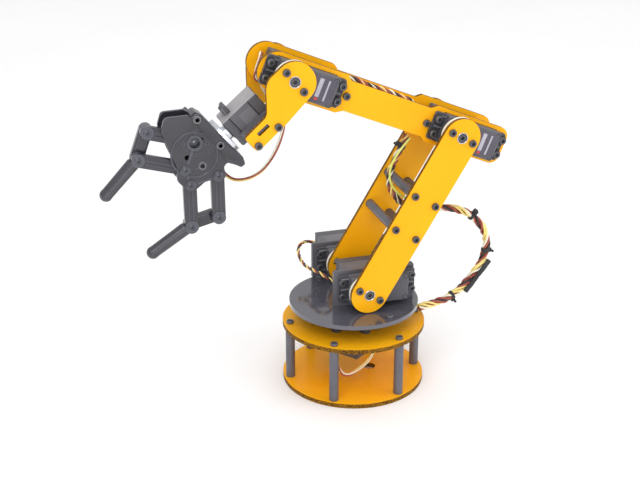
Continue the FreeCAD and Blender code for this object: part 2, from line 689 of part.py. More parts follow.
cradle = shifted(rotate_place, x=-ROTATE_OFFSET)
flange_half = size("compact_ears") / 2
window_half = size("compact_length") / 2 + 0.3
flange = box(flange_half - 2.0, 2 * CRADLE_OUTER, 2.2, cradle, (-flange_half, -CRADLE_OUTER, -2.2))
cheeks = [box(13.0, CRADLE_OUTER - CRADLE_INNER, 24.0, cradle, (-15.0, low, -18.5))
          for low in (-CRADLE_OUTER, CRADLE_INNER)]
cradle_cuts = [box(2 * window_half, 2 * window_half, 2.2, cradle,
                   (-window_half, -window_half, -2.2))]
cradle_cuts += [cylinder("screw_hole_radius", 2.2, shifted(rotate_place, x=x, y=y, z=-2.2))
                for x, y in ear_points(ROTATE_OFFSET, ROTATE_SPAN, 0)]
keep("wrist_servo_cradle", without(fused([flange] + cheeks), cradle_cuts))
wrist_screw_set += [screw(shifted(rotate_place, x=x, y=y, z=size("ear_thickness")), "panel_thickness")
                    for x, y in ear_points(ROTATE_OFFSET, ROTATE_SPAN, 0)]
keep("wrist_screws", group(wrist_screw_set))
keep("wrist_rotate_lead", corded(
    [(59.6, 3.5, 203.0), (58.2, 3.6, 206.5), (61.2, 3.2, 211.5), (64.4, 2.6, 218.0)]
    + [fore_point(*spot) for spot in (
        (137.5, -2.3, 1.6), (137.2, 4.0, -2.5), (135.8, 6.5, -9.0), (133.6, 1.0, -13.5),
        (133.3, -7.0, -13.8), (132.3, -12.9, -13.8), (120.0, -12.1, -13.8), (96.0, -12.0, -13.8),
        (87.0, -11.6, -12.8), (84.3, -6.0, -11.0), (84.2, 0.5, -10.0))], "lead_radius"))

# ================================================================ hand and gripper


def hand_point(u, v, y=0.0):
    """A point this far along and across the hand's roll axis."""
    spot = Vector(HAND[0], y, HAND[1]) + ALONG * u + ACROSS * v
    return (spot.x, spot.y, spot.z)


def hand_frame(u, v, y, angle=0.0):
    x, _, z = hand_point(u, v)
    return upright(x, y, z, HAND_ANGLE + angle)


HORN_FACE = 55.2
keep("wrist_rotate_horn", horn(rotate_place, size("compact_above"), HORN_FACE - ROTATE_EARS, 2.2))
PALM = size("palm_half")
COVER = size("palm_thickness")
PALM_OUTER = PALM + COVER
CRANK, BAR = size("crank_length"), size("finger_bar_length")
OPEN_UPPER, OPEN_LOWER = 56.0, -49.8
BAR_UPPER, BAR_LOWER = -29.0, 26.3
UPPER_CRANK_ROOT = (86.6, 3.6)
LOWER_CRANK_ROOT = (91.0, -6.0)
UPPER_ROCKER_ROOT = ahead(UPPER_CRANK_ROOT, BAR_UPPER, -BAR)
LOWER_ROCKER_ROOT = ahead(LOWER_CRANK_ROOT, BAR_LOWER, -BAR)

wedge = [(HORN_FACE, -17.5, 1), (56.8, -20.8, 1.5), (60.6, -20.4, 1.5), (66.8, -9.5, 2),
         (64.5, 0, 3), (64.5, 12, 3), (61.6, 26.8, 2.4), (56.8, 26.8, 2.2), (HORN_FACE, 21.5, 1)]
cover_screws = [(59.1, 23.0), (60.0, 0.5)]
cover_holes = [(u, v, "screw_hole_radius") for u, v in cover_screws]
middle_post = (77.0, -1.5)
pin_roots = [UPPER_CRANK_ROOT, LOWER_CRANK_ROOT, LOWER_ROCKER_ROOT]
pin_holes = [(u, v, "finger_pin_hole_radius") for u, v in pin_roots]
keep("palm_block", plate(wedge, 2 * PALM, hand_frame(0, 0, PALM), holes=cover_holes))
COVER_OUTLINE = [(56.4, -12, 3), (68.0, -12, 3), (70.9, -18.2, 3.6), (77.9, -18.2, 3.6),
                 (81, -11, 3), (89.5, -10.7, 4), (95.0, -8.6, 4), (95.0, 2.2, 4), (88.8, 9.5, 4),
                 (86.2, 18, 6), (80.2, 33, 4), (72.8, 37.6, 3), (61.4, 28.6, 1.5), (60.9, 25.8, 1),
                 (56.4, 25.8, 2)]
keep("palm_near_cover", plate(COVER_OUTLINE, "palm_thickness", hand_frame(0, 0, PALM_OUTER),
                              holes=cover_holes + pin_holes
                              + [middle_post + ("screw_hole_radius",),
                                 UPPER_ROCKER_ROOT + ("post_radius",)]))
GRIP_TOP = PALM_OUTER + 0.3
grip_place = placed(hand_point(*UPPER_ROCKER_ROOT, y=-GRIP_TOP - size("compact_above")),
                    ACROSS, Y_AXIS)
grip_ear_spots = [(UPPER_ROCKER_ROOT[0] + y, UPPER_ROCKER_ROOT[1] + x)
                  for x, y in ear_points(ROTATE_OFFSET, ROTATE_SPAN, 0)]
keep("palm_far_cover", plate(COVER_OUTLINE, "palm_thickness", hand_frame(0, 0, -PALM),
                             holes=cover_holes + pin_holes
                             + [middle_post + ("screw_hole_radius",),
                                UPPER_ROCKER_ROOT + ("boss_hole_radius",)]
                             + [(u, v, "screw_hole_radius") for u, v in grip_ear_spots]))
GRIP_CASE = dict(COMPACT, below="grip_below")
keep("gripper_servo_case", servo_case(grip_place, ears="compact_ears", hole_span=ROTATE_SPAN,
                                      offset=ROTATE_OFFSET, ear_width="compact_ear_width",
                                      **GRIP_CASE))
ear_top = GRIP_TOP + size("compact_above") - size("ear_thickness")
palm_posts = [post(hand_frame(u, v, -PALM_OUTER), ear_top - PALM_OUTER, radius=2.8)
              for u, v in grip_ear_spots]
palm_posts += [post(hand_frame(*middle_post, PALM), 2 * PALM)]
keep("palm_posts", group(palm_posts))
near_heads = [screw(facing_near(hand_frame(u, v, PALM_OUTER), 0, 0, 0), "palm_screw_length")
              for u, v in cover_screws + [middle_post]]
ear_heads = [screw(facing_far(hand_frame(u, v, -ear_top - size("ear_thickness")), 0, 0, 0),
                   "compact_screw_length") for u, v in grip_ear_spots]
keep("palm_screws", group(near_heads + ear_heads))
keep("palm_pins", group([cylinder("finger_pin_radius", 2 * PALM_OUTER,
                                  hand_frame(u, v, PALM_OUTER)) for u, v in pin_roots]))
keep("gripper_lead", corded([hand_point(68, 1.8, -23), hand_point(68.4, -6.0, -23.5),
                             hand_point(71, -15.0, -20), (82.5, -12, 150.0), (73.0, -6, 150.5),
                             (64.3, 0, 156.5), (58.6, 6, 166.5), (54.8, 10.5, 177.5), (52.6, 13.6, 187.6),
                             (52.0, 15.5, 196.0), (53.0, 16.5, 203.4)],
                            "lead_radius"))

LAYER = 5.0
LAYER_GAP = 0.3
TEETH = 10
GEAR_PITCH = math.hypot(UPPER_CRANK_ROOT[0] - LOWER_CRANK_ROOT[0],
                        UPPER_CRANK_ROOT[1] - LOWER_CRANK_ROOT[1]) / 2


def toothed_sector(root, facing, phase):
    """Trapezoid teeth round a crank's root, on the side that faces the other crank."""
    step = 360.0 / TEETH
    teeth = []
    for i in range(-2, 3):
        place = hand_frame(root[0], root[1], LAYER + LAYER_GAP, facing + (i + phase) * step)
        outline = [(3.0, -1.05, 0), (GEAR_PITCH - 0.5, -0.85, 0), (GEAR_PITCH + 0.65, -0.4, 0),
                   (GEAR_PITCH + 0.65, 0.4, 0), (GEAR_PITCH - 0.5, 0.85, 0), (3.0, 1.05, 0)]
        teeth.append(plate(outline, LAYER, place))
    return teeth


def link(root, angle, far_hole, extras=()):
    """A round-ended link in the near layer, with a hole at each end."""
    place = hand_frame(root[0], root[1], LAYER + LAYER_GAP, angle)
    bar = plate(bar_outline(CRANK, size("finger_bar_radius")), LAYER, place)
    body = fused([bar] + list(extras)) if extras else bar
    cuts = [cylinder("finger_pin_hole_radius", LAYER, place),
            cylinder(far_hole, LAYER, shifted(place, x=CRANK))]
    return without(body, cuts)


def fingertip(root, open_angle, bar_angle, tip_angle):
    """The finger: a bar between its two pins in the far layer, and a round tip."""
    start = ahead(root, open_angle, CRANK)
    turn = bar_angle
    place = hand_frame(start[0], start[1], -LAYER_GAP, turn)
    bar = plate(bar_outline(BAR, size("finger_bar_radius")), LAYER, place)
    pins = [cylinder("finger_pin_radius", LAYER_GAP + LAYER + 1.0 + LAYER_GAP,
                     placed(hand_point(*spot, y=-LAYER_GAP - 0.5), X_AXIS, Y_AXIS))
            for spot in (start, ahead(start, bar_angle, BAR))]
    tip_start = ahead(ahead(start, bar_angle, BAR), tip_angle, 5.0)
    tilt = math.radians(HAND_ANGLE + tip_angle)
    rod_place = placed(hand_point(*tip_start), Y_AXIS, Vector(math.cos(tilt), 0, math.sin(tilt)))
    rod = cylinder("finger_tip_radius", 25.0, rod_place)
    ball = doc.addObject("Part::Sphere", fresh("Ball"))
    assign(ball, "Radius", "finger_tip_radius")
    ball.Placement = shifted(rod_place, z=25.0)
    return fused([bar, rod, ball] + pins)


to_lower = math.degrees(math.atan2(LOWER_CRANK_ROOT[1] - UPPER_CRANK_ROOT[1],
                                   LOWER_CRANK_ROOT[0] - UPPER_CRANK_ROOT[0]))
rocker_place = placed(hand_point(*UPPER_ROCKER_ROOT, y=-GRIP_TOP - 3.8), X_AXIS, Y_AXIS)
rocker_shaft = cylinder("shaft_radius", GRIP_TOP + 3.8 + LAYER, rocker_place)
upper_rocker_bar = plate(bar_outline(CRANK, size("finger_bar_radius")), LAYER,
                         hand_frame(*UPPER_ROCKER_ROOT, LAYER + LAYER_GAP, OPEN_UPPER))
keep("upper_rocker", without(fused([upper_rocker_bar, rocker_shaft]),
                             [cylinder("finger_pin_hole_radius", LAYER,
                                       shifted(hand_frame(*UPPER_ROCKER_ROOT, LAYER + LAYER_GAP,
                                                          OPEN_UPPER), x=CRANK))]))
keep("upper_crank", link(UPPER_CRANK_ROOT, OPEN_UPPER, "finger_open_hole_radius",
                         toothed_sector(UPPER_CRANK_ROOT, to_lower, 0.0)))
keep("lower_crank", link(LOWER_CRANK_ROOT, OPEN_LOWER, "finger_open_hole_radius",
                         toothed_sector(LOWER_CRANK_ROOT, to_lower + 180, 0.5)))
keep("lower_rocker", link(LOWER_ROCKER_ROOT, OPEN_LOWER, "finger_pin_hole_radius"))
keep("upper_finger", fingertip(UPPER_ROCKER_ROOT, OPEN_UPPER, BAR_UPPER, -6.0))
keep("lower_finger", fingertip(LOWER_ROCKER_ROOT, OPEN_LOWER, BAR_LOWER, 7.6))

# ================================================================ harness along the upper arm

keep("arm_harness", corded([(-37.2, -4, 172.4), (-34.6, -3, 166.5), (-28.5, 0, 158.0),
                            (-22.8, 3, 148.5), (-23.4, 4, 137.5), (-30.0, 3, 128.0),
                            (-39.5, 0.5, 122.3), (-48.6, -0.9, 119.8)], "harness_radius"))
keep("rear_harness", corded([(-49.9, -1, 119.6), (-60.0, -1, 118.6), (-71.5, 0.5, 117.6),
                             (-82.5, 2.5, 113.5), (-91.5, 4, 104.5), (-96.5, 5, 93.5),
                             (-94.6, 5.8, 82.5), (-89.5, 7, 73.0), (-82.0, 8, 64.8),
                             (-73.5, 9.3, 57.8), (-64.0, 10.5, 53.8), (-53.5, 11.5, 51.8),
                             (-43.6, 12.2, 50.8)], "harness_radius"))

# ================================================================ checks and export

doc.recompute()
broken = [o.Label for o in doc.Objects if {"Invalid", "Error"} & set(o.State)]
if broken:
    raise SystemExit("these objects failed: %s" % ", ".join(broken))
for node, thing in parts.items():
    shape = thing.Shape
    if shape.isNull() or not shape.isValid() or not shape.Solids:
        raise SystemExit("%s has no valid solid" % node)
os.makedirs("parts", exist_ok=True)
for node, thing in parts.items():
    thing.Shape.exportStep("parts/%s.step" % node)
print("%d nodes written" % len(parts))
for name, spot in (("shoulder", SHOULDER), ("elbow", ELBOW), ("wrist", WRIST), ("hand", HAND)):
    print(name, "%.3f %.3f" % spot)
for name, spot in (("upper_crank", UPPER_CRANK_ROOT), ("lower_crank", LOWER_CRANK_ROOT),
                   ("upper_rocker", UPPER_ROCKER_ROOT), ("lower_rocker", LOWER_ROCKER_ROOT),
                   ("upper_finger", ahead(UPPER_ROCKER_ROOT, OPEN_UPPER, CRANK)),
                   ("lower_finger", ahead(LOWER_ROCKER_ROOT, OPEN_LOWER, CRANK))):
    print(name, "%.3f %.3f %.3f" % hand_point(*spot))
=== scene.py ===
"""Looks of the desktop robot arm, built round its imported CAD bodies.

Lengths are in millimetres and angles in degrees; the floor and the lights are in metres.
"""
import bpy
import bmesh
import math
from collections import namedtuple
from mathutils import Matrix, Vector


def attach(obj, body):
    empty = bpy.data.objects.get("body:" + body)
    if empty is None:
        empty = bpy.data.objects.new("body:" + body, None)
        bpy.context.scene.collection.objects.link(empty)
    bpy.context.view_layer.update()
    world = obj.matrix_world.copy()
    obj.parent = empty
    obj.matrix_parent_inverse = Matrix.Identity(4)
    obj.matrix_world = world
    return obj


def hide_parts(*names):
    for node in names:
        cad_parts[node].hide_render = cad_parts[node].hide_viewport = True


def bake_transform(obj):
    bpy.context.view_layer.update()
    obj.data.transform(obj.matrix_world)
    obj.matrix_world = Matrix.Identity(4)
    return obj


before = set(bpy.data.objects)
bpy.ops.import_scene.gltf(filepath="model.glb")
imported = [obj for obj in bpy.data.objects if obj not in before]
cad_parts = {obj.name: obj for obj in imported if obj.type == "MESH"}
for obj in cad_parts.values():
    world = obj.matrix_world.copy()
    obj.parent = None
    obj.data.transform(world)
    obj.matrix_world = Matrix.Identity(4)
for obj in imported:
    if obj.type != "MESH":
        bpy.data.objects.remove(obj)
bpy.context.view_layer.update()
MM = 0.001

# ---- places


def axes(origin, x_dir, z_dir):
    """A matrix in millimetres whose local X and Z point these ways."""
    x, z = Vector(x_dir).normalized(), Vector(z_dir).normalized()
    y = z.cross(x)
    turn = Matrix((x, y, z)).transposed().to_4x4()
    return Matrix.Translation(Vector(origin)) @ turn


def upright(x, y, z, angle):
    """Local X at this angle above +X in the XZ plane, local Z pointing at -Y."""
    t = math.radians(angle)
    return axes((x, y, z), (math.cos(t), 0, math.sin(t)), (0, -1, 0))


def shifted(place, x=0.0, y=0.0, z=0.0):
    """Moved along the place's own axes."""
    return place @ Matrix.Translation((x, y, z))


def turned(place, angle):
    """Turned about the place's own Z."""
    return place @ Matrix.Rotation(math.radians(angle), 4, "Z")


def ahead(origin, angle, distance, side=0.0):
    """The (x, z) this far along, and to the side of, a line at this angle above +X."""
    t = math.radians(angle)
    return (origin[0] + distance * math.cos(t) - side * math.sin(t),
            origin[1] + distance * math.sin(t) + side * math.cos(t))


# Each link's angle above +X at rest, the length of both links, and the pins as (x, z).
UPPER_ANGLE, FORE_ANGLE, HAND_ANGLE = 120.64, 22.11, -40.5
LINK = 120.65
HAND_OFFSET = -3.5
SHOULDER = (-2.2, 72.6)
ELBOW = ahead(SHOULDER, UPPER_ANGLE, LINK)
WRIST = ahead(ELBOW, FORE_ANGLE, LINK)
HAND = ahead(WRIST, HAND_ANGLE, 0, HAND_OFFSET)
# In Y: the upper arm's outer faces, the near forearm plate's outer face, the far one's inner face.
ARM_OUTER, FORE_NEAR, FORE_FAR = 27.2, 10.5, -17.9
PLATE, BRACKET_FOOT = 3.0, 3.0
TOP_FACE, DISC_TOP = 44.1, 59.2


def on_hand(u, v, y, angle=0.0):
    """A place on the hand: u along it, v across it, turned by this angle from it."""
    x, z = ahead(HAND, HAND_ANGLE, u, v)
    return upright(x, y, z, HAND_ANGLE + angle)


def to_near(place):
    """The same spot with local Z facing +Y."""
    return axes(place.translation, (1, 0, 0), (0, 1, 0))


def to_far(place):
    """The same spot with local Z facing -Y."""
    return axes(place.translation, (1, 0, 0), (0, -1, 0))


# ---- materials

# Pointiness where the painted edge highlight starts, and where it is at full brightness.
HIGHLIGHT_FROM, HIGHLIGHT_FULL = 0.515, 0.60
COAT_ROUGHNESS, RELIEF = 0.12, 0.05


def grey(level):
    return (level,) * 3


def node(tree, kind, **values):
    made = tree.nodes.new(kind)
    for key, value in values.items():
        setattr(made, key, value)
    return made


def ramp(tree, source, low, high, first, last):
    """The first colour up to low, the last one from high on, and a blend between."""
    made = node(tree, "ShaderNodeValToRGB")
    stops = made.color_ramp.elements
    stops[0].position, stops[1].position = low, high
    stops[0].color = (*first, 1)
    stops[1].color = (*last, 1)
    tree.links.new(source, made.inputs["Fac"])
    return made.outputs["Color"]


def noise(tree, scale, detail, rough, stretch=(1, 1, 1)):
    coords = node(tree, "ShaderNodeTexCoord")
    mapping = node(tree, "ShaderNodeMapping")
    mapping.inputs["Scale"].default_value = stretch
    made = node(tree, "ShaderNodeTexNoise")
    made.inputs["Scale"].default_value = scale
    made.inputs["Detail"].default_value = detail
    made.inputs["Roughness"].default_value = rough
    tree.links.new(coords.outputs["Object"], mapping.inputs["Vector"])
    tree.links.new(mapping.outputs["Vector"], made.inputs["Vector"])
    return made.outputs["Fac"]


def blended(tree, amount, first, second):
    """A mix of two colours; each is a socket or a plain colour."""
    made = node(tree, "ShaderNodeMix", data_type="RGBA")
    tree.links.new(amount, made.inputs["Factor"])
    for source, socket in ((first, made.inputs["A"]), (second, made.inputs["B"])):
        if hasattr(source, "links"):
            tree.links.new(source, socket)
        else:
            socket.default_value = (*source, 1)
    return made.outputs["Result"]


def shader(name):
    material = bpy.data.materials.new(name)
    material.use_nodes = True
    tree = material.node_tree
    return material, tree, tree.nodes["Principled BSDF"]


def bumped(tree, principled, height, strength):
    made = node(tree, "ShaderNodeBump")
    made.inputs["Strength"].default_value = strength
    made.inputs["Distance"].default_value = RELIEF * MM
    tree.links.new(height, made.inputs["Height"])
    tree.links.new(made.outputs["Normal"], principled.inputs["Normal"])


def surface(name, dark, light, rough, grain, bump, metal=0.0, coat=0.0, edge=None,
            stretch=(1, 1, 1), blotch=60, specular=0.5):
    """A moulded or machined finish: broad tone changes, fine grain, and edges lightened as a painted
    highlight.
    """
    material, tree, principled = shader(name)
    colour = ramp(tree, noise(tree, blotch, 4, 0.6), 0.3, 0.72, dark, light)
    # The edge colour is laid on sharp edges by pointiness: a painted highlight.
    if edge:
        point = node(tree, "ShaderNodeNewGeometry").outputs["Pointiness"]
        edge_highlight = ramp(tree, point, HIGHLIGHT_FROM, HIGHLIGHT_FULL, grey(0), grey(1))
        colour = blended(tree, edge_highlight, colour, edge)
    tree.links.new(colour, principled.inputs["Base Color"])
    fine = noise(tree, grain, 3, 0.6, stretch)
    tone = ramp(tree, fine, 0.3, 0.7, grey(rough[0]), grey(rough[1]))
    tree.links.new(tone, principled.inputs["Roughness"])
    principled.inputs["Metallic"].default_value = metal
    principled.inputs["Specular IOR Level"].default_value = specular
    principled.inputs["Coat Weight"].default_value = coat
    principled.inputs["Coat Roughness"].default_value = COAT_ROUGHNESS
    bumped(tree, principled, fine, bump)
    return material


FACE_TONES = ((0.96, 0.42, 0.004), (0.99, 0.485, 0.008))
EDGE_TONES = ((0.040, 0.014, 0.001), (0.44, 0.20, 0.003))
FACE_ROUGHNESS, EDGE_ROUGHNESS = (0.22, 0.34), 0.6
PANEL_SPECULAR = 0.18


def panel(name, axis):
    """Yellow sheet: smooth faces across this axis, and cut edges of dark amber with orange flecks."""
    material, tree, principled = shader(name)
    face = ramp(tree, noise(tree, 14, 3, 0.5), 0.25, 0.75, *FACE_TONES)
    flecks = ramp(tree, noise(tree, 1500, 2, 0.7), 0.47, 0.59, *EDGE_TONES)
    coords = node(tree, "ShaderNodeTexCoord")
    dot = node(tree, "ShaderNodeVectorMath", operation="DOT_PRODUCT")
    dot.inputs[1].default_value = axis
    tree.links.new(coords.outputs["Normal"], dot.inputs[0])
    size = node(tree, "ShaderNodeMath", operation="ABSOLUTE")
    tree.links.new(dot.outputs["Value"], size.inputs[0])
    on_face = ramp(tree, size.outputs["Value"], 0.6, 0.8, grey(0), grey(1))
    tree.links.new(blended(tree, on_face, flecks, face), principled.inputs["Base Color"])
    tone = ramp(tree, noise(tree, 30, 4, 0.6), 0.3, 0.7, *map(grey, FACE_ROUGHNESS))
    tree.links.new(blended(tree, on_face, grey(EDGE_ROUGHNESS), tone), principled.inputs["Roughness"])
    principled.inputs["Specular IOR Level"].default_value = PANEL_SPECULAR
    bumped(tree, principled, noise(tree, 70, 2, 0.4), 0.05)
    return material


def insulation(name, dark, light, rough=(0.35, 0.5)):
    return surface(name, dark, light, rough, 900, 0.08)


YELLOW_UPRIGHT = panel("yellow_upright", (0, 1, 0))
YELLOW_FLAT = panel("yellow_flat", (0, 0, 1))
POST = surface("grey_post", (0.115, 0.115, 0.14), (0.15, 0.15, 0.175), (0.32, 0.46), 1500, 0.10,
               metal=0.35, stretch=(1, 1, 0.06))
# The edge colours given to the screws, servo cases, brackets and gripper are painted highlights along their
# edges.
SCREW = surface("screw_black", (0.035, 0.035, 0.042), (0.075, 0.075, 0.085), (0.25, 0.4), 1400, 0.1,
                metal=0.5, edge=(0.17, 0.17, 0.185))
BUSH = surface("dull_steel", (0.20, 0.20, 0.21), (0.34, 0.34, 0.35), (0.25, 0.4), 1600, 0.1, metal=0.9)
STEEL = surface("bright_steel", (0.55, 0.55, 0.56), (0.72, 0.72, 0.72), (0.16, 0.3), 1600, 0.1, metal=1.0)
DISC = surface("black_disc", (0.075, 0.073, 0.092), (0.092, 0.089, 0.112), (0.08, 0.14), 300, 0.02,
               coat=0.6, specular=0.8)
CASE = surface("servo_case", (0.032, 0.031, 0.039), (0.050, 0.048, 0.058), (0.42, 0.55), 2400, 0.25,
               edge=(0.16, 0.16, 0.18))
PALE_TOP = surface("rotate_servo_top", (0.31, 0.30, 0.315), (0.40, 0.385, 0.395), (0.38, 0.5), 2400, 0.25)
LABEL = surface("label_plate", (0.07, 0.062, 0.085), (0.10, 0.09, 0.12), (0.25, 0.35), 600, 0.03)
LABEL_BAR = surface("label_bar", (0.36, 0.35, 0.42), (0.50, 0.49, 0.56), (0.3, 0.4), 600, 0.03)
LABEL_RED = surface("label_red", (0.5, 0.03, 0.03), (0.6, 0.05, 0.04), (0.3, 0.4), 600, 0.03)
HORN = surface("white_horn", (0.80, 0.74, 0.62), (0.90, 0.86, 0.76), (0.35, 0.5), 1200, 0.1)
METAL_HORN = surface("metal_horn", (0.62, 0.66, 0.72), (0.78, 0.81, 0.86), (0.2, 0.34), 1500, 0.1,
                     metal=0.85)
BRACKET = surface("black_bracket", (0.030, 0.030, 0.038), (0.046, 0.046, 0.056), (0.28, 0.42), 800, 0.08,
                  edge=(0.12, 0.12, 0.14))
RUBBER = surface("black_rubber", (0.022, 0.022, 0.025), (0.04, 0.04, 0.044), (0.6, 0.8), 1300, 0.3)
GRIP = surface("gripper_black", (0.014, 0.014, 0.018), (0.026, 0.026, 0.033), (0.16, 0.28), 1500, 0.10,
               edge=(0.09, 0.09, 0.12), coat=0.35)
GRIP_DARK = surface("gripper_recess", (0.014, 0.014, 0.016), (0.026, 0.026, 0.03), (0.5, 0.7), 1500, 0.2)
TIP = surface("fingertip_sleeve", (0.034, 0.034, 0.043), (0.055, 0.055, 0.067), (0.24, 0.36), 900, 0.16,
              coat=0.3)
WIRE_BLACK = insulation("wire_black", (0.02, 0.018, 0.022), (0.045, 0.04, 0.045))
WIRE_RED = insulation("wire_red", (0.30, 0.055, 0.035), (0.42, 0.10, 0.06))
WIRE_YELLOW = insulation("wire_yellow", (0.86, 0.66, 0.16), (0.95, 0.80, 0.34), (0.32, 0.46))
WIRE_CREAM = insulation("wire_cream", (0.84, 0.78, 0.60), (0.93, 0.89, 0.76))
WIRE_GREEN = insulation("wire_green", (0.62, 0.68, 0.10), (0.76, 0.80, 0.22))
BOARD = surface("inner_parts", (0.25, 0.25, 0.26), (0.5, 0.5, 0.5), (0.3, 0.5), 900, 0.2, metal=0.7)
PAD = surface("glide_pad", (0.04, 0.04, 0.045), (0.07, 0.07, 0.075), (0.4, 0.6), 900, 0.15)

# ---- mesh tools

# A bevel's largest share of a thickness, the gap that joins points, and the steps round a bar's end.
BEVEL_SHARE, WELD, END_STEPS = 0.45, 0.001, 14


def arc_corner(before, corner, after, radius, steps):
    """The points that round off one corner of an outline."""
    here = Vector(corner)
    back, on = (Vector(before) - here).normalized(), (Vector(after) - here).normalized()
    if radius <= 0:
        return [tuple(here)]
    half = back.angle(on) / 2
    reach = radius / math.tan(half)
    centre = here + (back + on).normalized() * (radius / math.sin(half))
    first, last = here + back * reach - centre, here + on * reach - centre
    sweep = first.angle_signed(last)
    points = []
    for i in range(steps + 1):
        t = -sweep * i / steps
        c, s = math.cos(t), math.sin(t)
        points.append((centre.x + first.x * c - first.y * s, centre.y + first.x * s + first.y * c))
    return points


def rounded(corners, steps=6):
    """A closed outline through (x, y, radius) corners."""
    spots = [c[:2] for c in corners]
    points = []
    for i, (x, y, radius) in enumerate(corners):
        points += arc_corner(spots[i - 1], (x, y), spots[(i + 1) % len(spots)], radius, steps)
    return points


def mesh_of(curve):
    """A curve's mesh; the curve itself is removed."""
    holder = bpy.data.objects.new("holder", curve)
    mesh = bpy.data.meshes.new_from_object(holder)
    bpy.data.objects.remove(holder)
    bpy.data.curves.remove(curve)
    return mesh


def skin(rings, count):
    """The faces of a tube of rings, capped at both ends."""
    faces = []
    for ring in range(rings - 1):
        for i in range(count):
            a, b = ring * count + i, ring * count + (i + 1) % count
            faces.append([a, b, b + count, a + count])
    faces.append(list(range(count))[::-1])
    faces.append([(rings - 1) * count + i for i in range(count)])
    return faces


def ring_of(x, y, radius, count=28):
    """A circle's points, for a hole or a turned part's ring."""
    return [(x + radius * math.cos(math.tau * i / count), y + radius * math.sin(math.tau * i / count))
            for i in range(count)]


def bar_of(length, radius):
    """A round-ended bar's outline, from the origin along X."""
    ends = []
    for centre, first in ((length, -90), (0, 90)):
        for i in range(END_STEPS + 1):
            t = math.radians(first + 180 * i / END_STEPS)
            ends.append((centre + radius * math.cos(t), radius * math.sin(t)))
    return ends


class Piece:
    """One Blender mesh put together from bevelled plates, boxes and turned parts."""

    def __init__(self, name, *materials):
        self.name = name
        self.materials = list(materials)
        self.verts = []
        self.faces = []
        self.kinds = []

    def take(self, verts, faces, place, kind):
        """Add points and faces, given in millimetres on this place."""
        start = len(self.verts)
        self.verts += [(place @ Vector(v)) * MM for v in verts]
        self.faces += [[start + i for i in face] for face in faces]
        self.kinds += [self.materials.index(kind)] * len(faces)

    def box(self, low, high, place, kind, bevel, segments):
        """A box between two corners, with all its edges rounded off."""
        made = bmesh.new()
        bmesh.ops.create_cube(made, size=1.0)
        spans = [b - a for a, b in zip(low, high)]
        for v in made.verts:
            v.co = Vector([a + (c + 0.5) * s for a, c, s in zip(low, v.co, spans)])
        limit = min(bevel, BEVEL_SHARE * min(spans))
        bmesh.ops.bevel(made, geom=list(made.edges), offset=limit, segments=segments,
                        affect="EDGES", profile=0.5)
        self.pour(made, place, kind)

    def pour(self, made, place, kind):
        """Add a bmesh's points and faces, and free it."""
        made.verts.index_update()
        self.take([v.co.copy() for v in made.verts],
                  [[v.index for v in f.verts] for f in made.faces], place, kind)
        made.free()

    def plate(self, loops, low, high, place, kind, bevel):
        """A flat piece between two local heights; the first loop is the outline, the rest holes."""
        data = bpy.data.curves.new("outline", "CURVE")
        data.dimensions = "2D"
        data.fill_mode = "BOTH"
        bevel = min(bevel, BEVEL_SHARE * (high - low))
        data.extrude = (high - low) / 2 - bevel
        data.bevel_depth = bevel
        data.bevel_resolution = 1
        data.offset = -bevel
        for loop in loops:
            spline = data.splines.new("POLY")
            spline.points.add(len(loop) - 1)
            for point, (x, y) in zip(spline.points, loop):
                point.co = (x, y, 0, 1)
            spline.use_cyclic_u = True
        mesh = mesh_of(data)
        made = bmesh.new()
        made.from_mesh(mesh)
        bmesh.ops.remove_doubles(made, verts=made.verts, dist=WELD)
        bpy.data.meshes.remove(mesh)
        self.pour(made, shifted(place, z=(low + high) / 2), kind)

    def lathe(self, profile, place, kind, count, hex_from=None):
        """A turned part; from ring hex_from on, the rings are hexagons, as in a socket."""
        verts = []
        for ring, (radius, z) in enumerate(profile):
            for i in range(count):
                t = math.tau * i / count
                r = radius
                if hex_from is not None and ring >= hex_from:
                    r = radius / math.cos((t % (math.pi / 3)) - math.pi / 6)
                verts.append((r * math.cos(t), r * math.sin(t), z))
        self.take(verts, skin(len(profile), count), place, kind)

    def tube(self, outer, inner, low, high, place, kind, count, bevel):
        """A turned ring with rounded rims."""
        b = min(bevel, 0.3 * (outer - inner))
        profile = [(inner, low), (outer - b, low), (outer, low + b), (outer, high - b),
                   (outer - b, high), (inner + b, high), (inner, high - b)]
        verts = [(x, y, z) for radius, z in profile for x, y in ring_of(0, 0, radius, count)]
        faces = []
        for ring in range(len(profile)):
            here, there = ring * count, (ring + 1) % len(profile) * count
            for i in range(count):
                beside = (i + 1) % count
                faces.append([here + i, here + beside, there + beside, there + i])
        self.take(verts, faces, place, kind)

    def screw(self, place, radius=2.5, height=2.0, kind=None):
        """A cap screw's head with a rounded rim and a hexagon socket."""
        rim, mouth, socket, depth = 0.35, 1.32, 1.12, 1.2
        profile = [(radius * 0.96, 0.0), (radius, rim), (radius, height - rim),
                   (radius - rim * 0.5, height - rim * 0.3), (radius - rim, height), (mouth, height),
                   (socket, height - 0.15), (socket, height - depth)]
        self.lathe(profile, place, kind or self.materials[0], 24, 6)

    def made(self, body, slot, replaces=(), smooth=38):
        """The Blender object; one made with no body is attached to one body, or fixed where it stands,
        later.
        """
        mesh = bpy.data.meshes.new(self.name)
        mesh.from_pydata(self.verts, [], self.faces)
        for material in self.materials:
            mesh.materials.append(material)
        mesh.polygons.foreach_set("material_index", self.kinds)
        mesh.polygons.foreach_set("use_smooth", [True] * len(mesh.polygons))
        mesh.update()
        tidy = bmesh.new()
        tidy.from_mesh(mesh)
        bmesh.ops.recalc_face_normals(tidy, faces=tidy.faces)
        tidy.to_mesh(mesh)
        tidy.free()
        mesh.set_sharp_from_angle(angle=math.radians(smooth))
        thing = bpy.data.objects.new(self.name, mesh)
        bpy.context.collection.objects.link(thing)
        if body:
            weighted = thing.modifiers.new("weighted_normals", "WEIGHTED_NORMAL")
            weighted.keep_sharp = True
            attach(thing, body)
        if replaces:
            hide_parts(*replaces)
        return thing


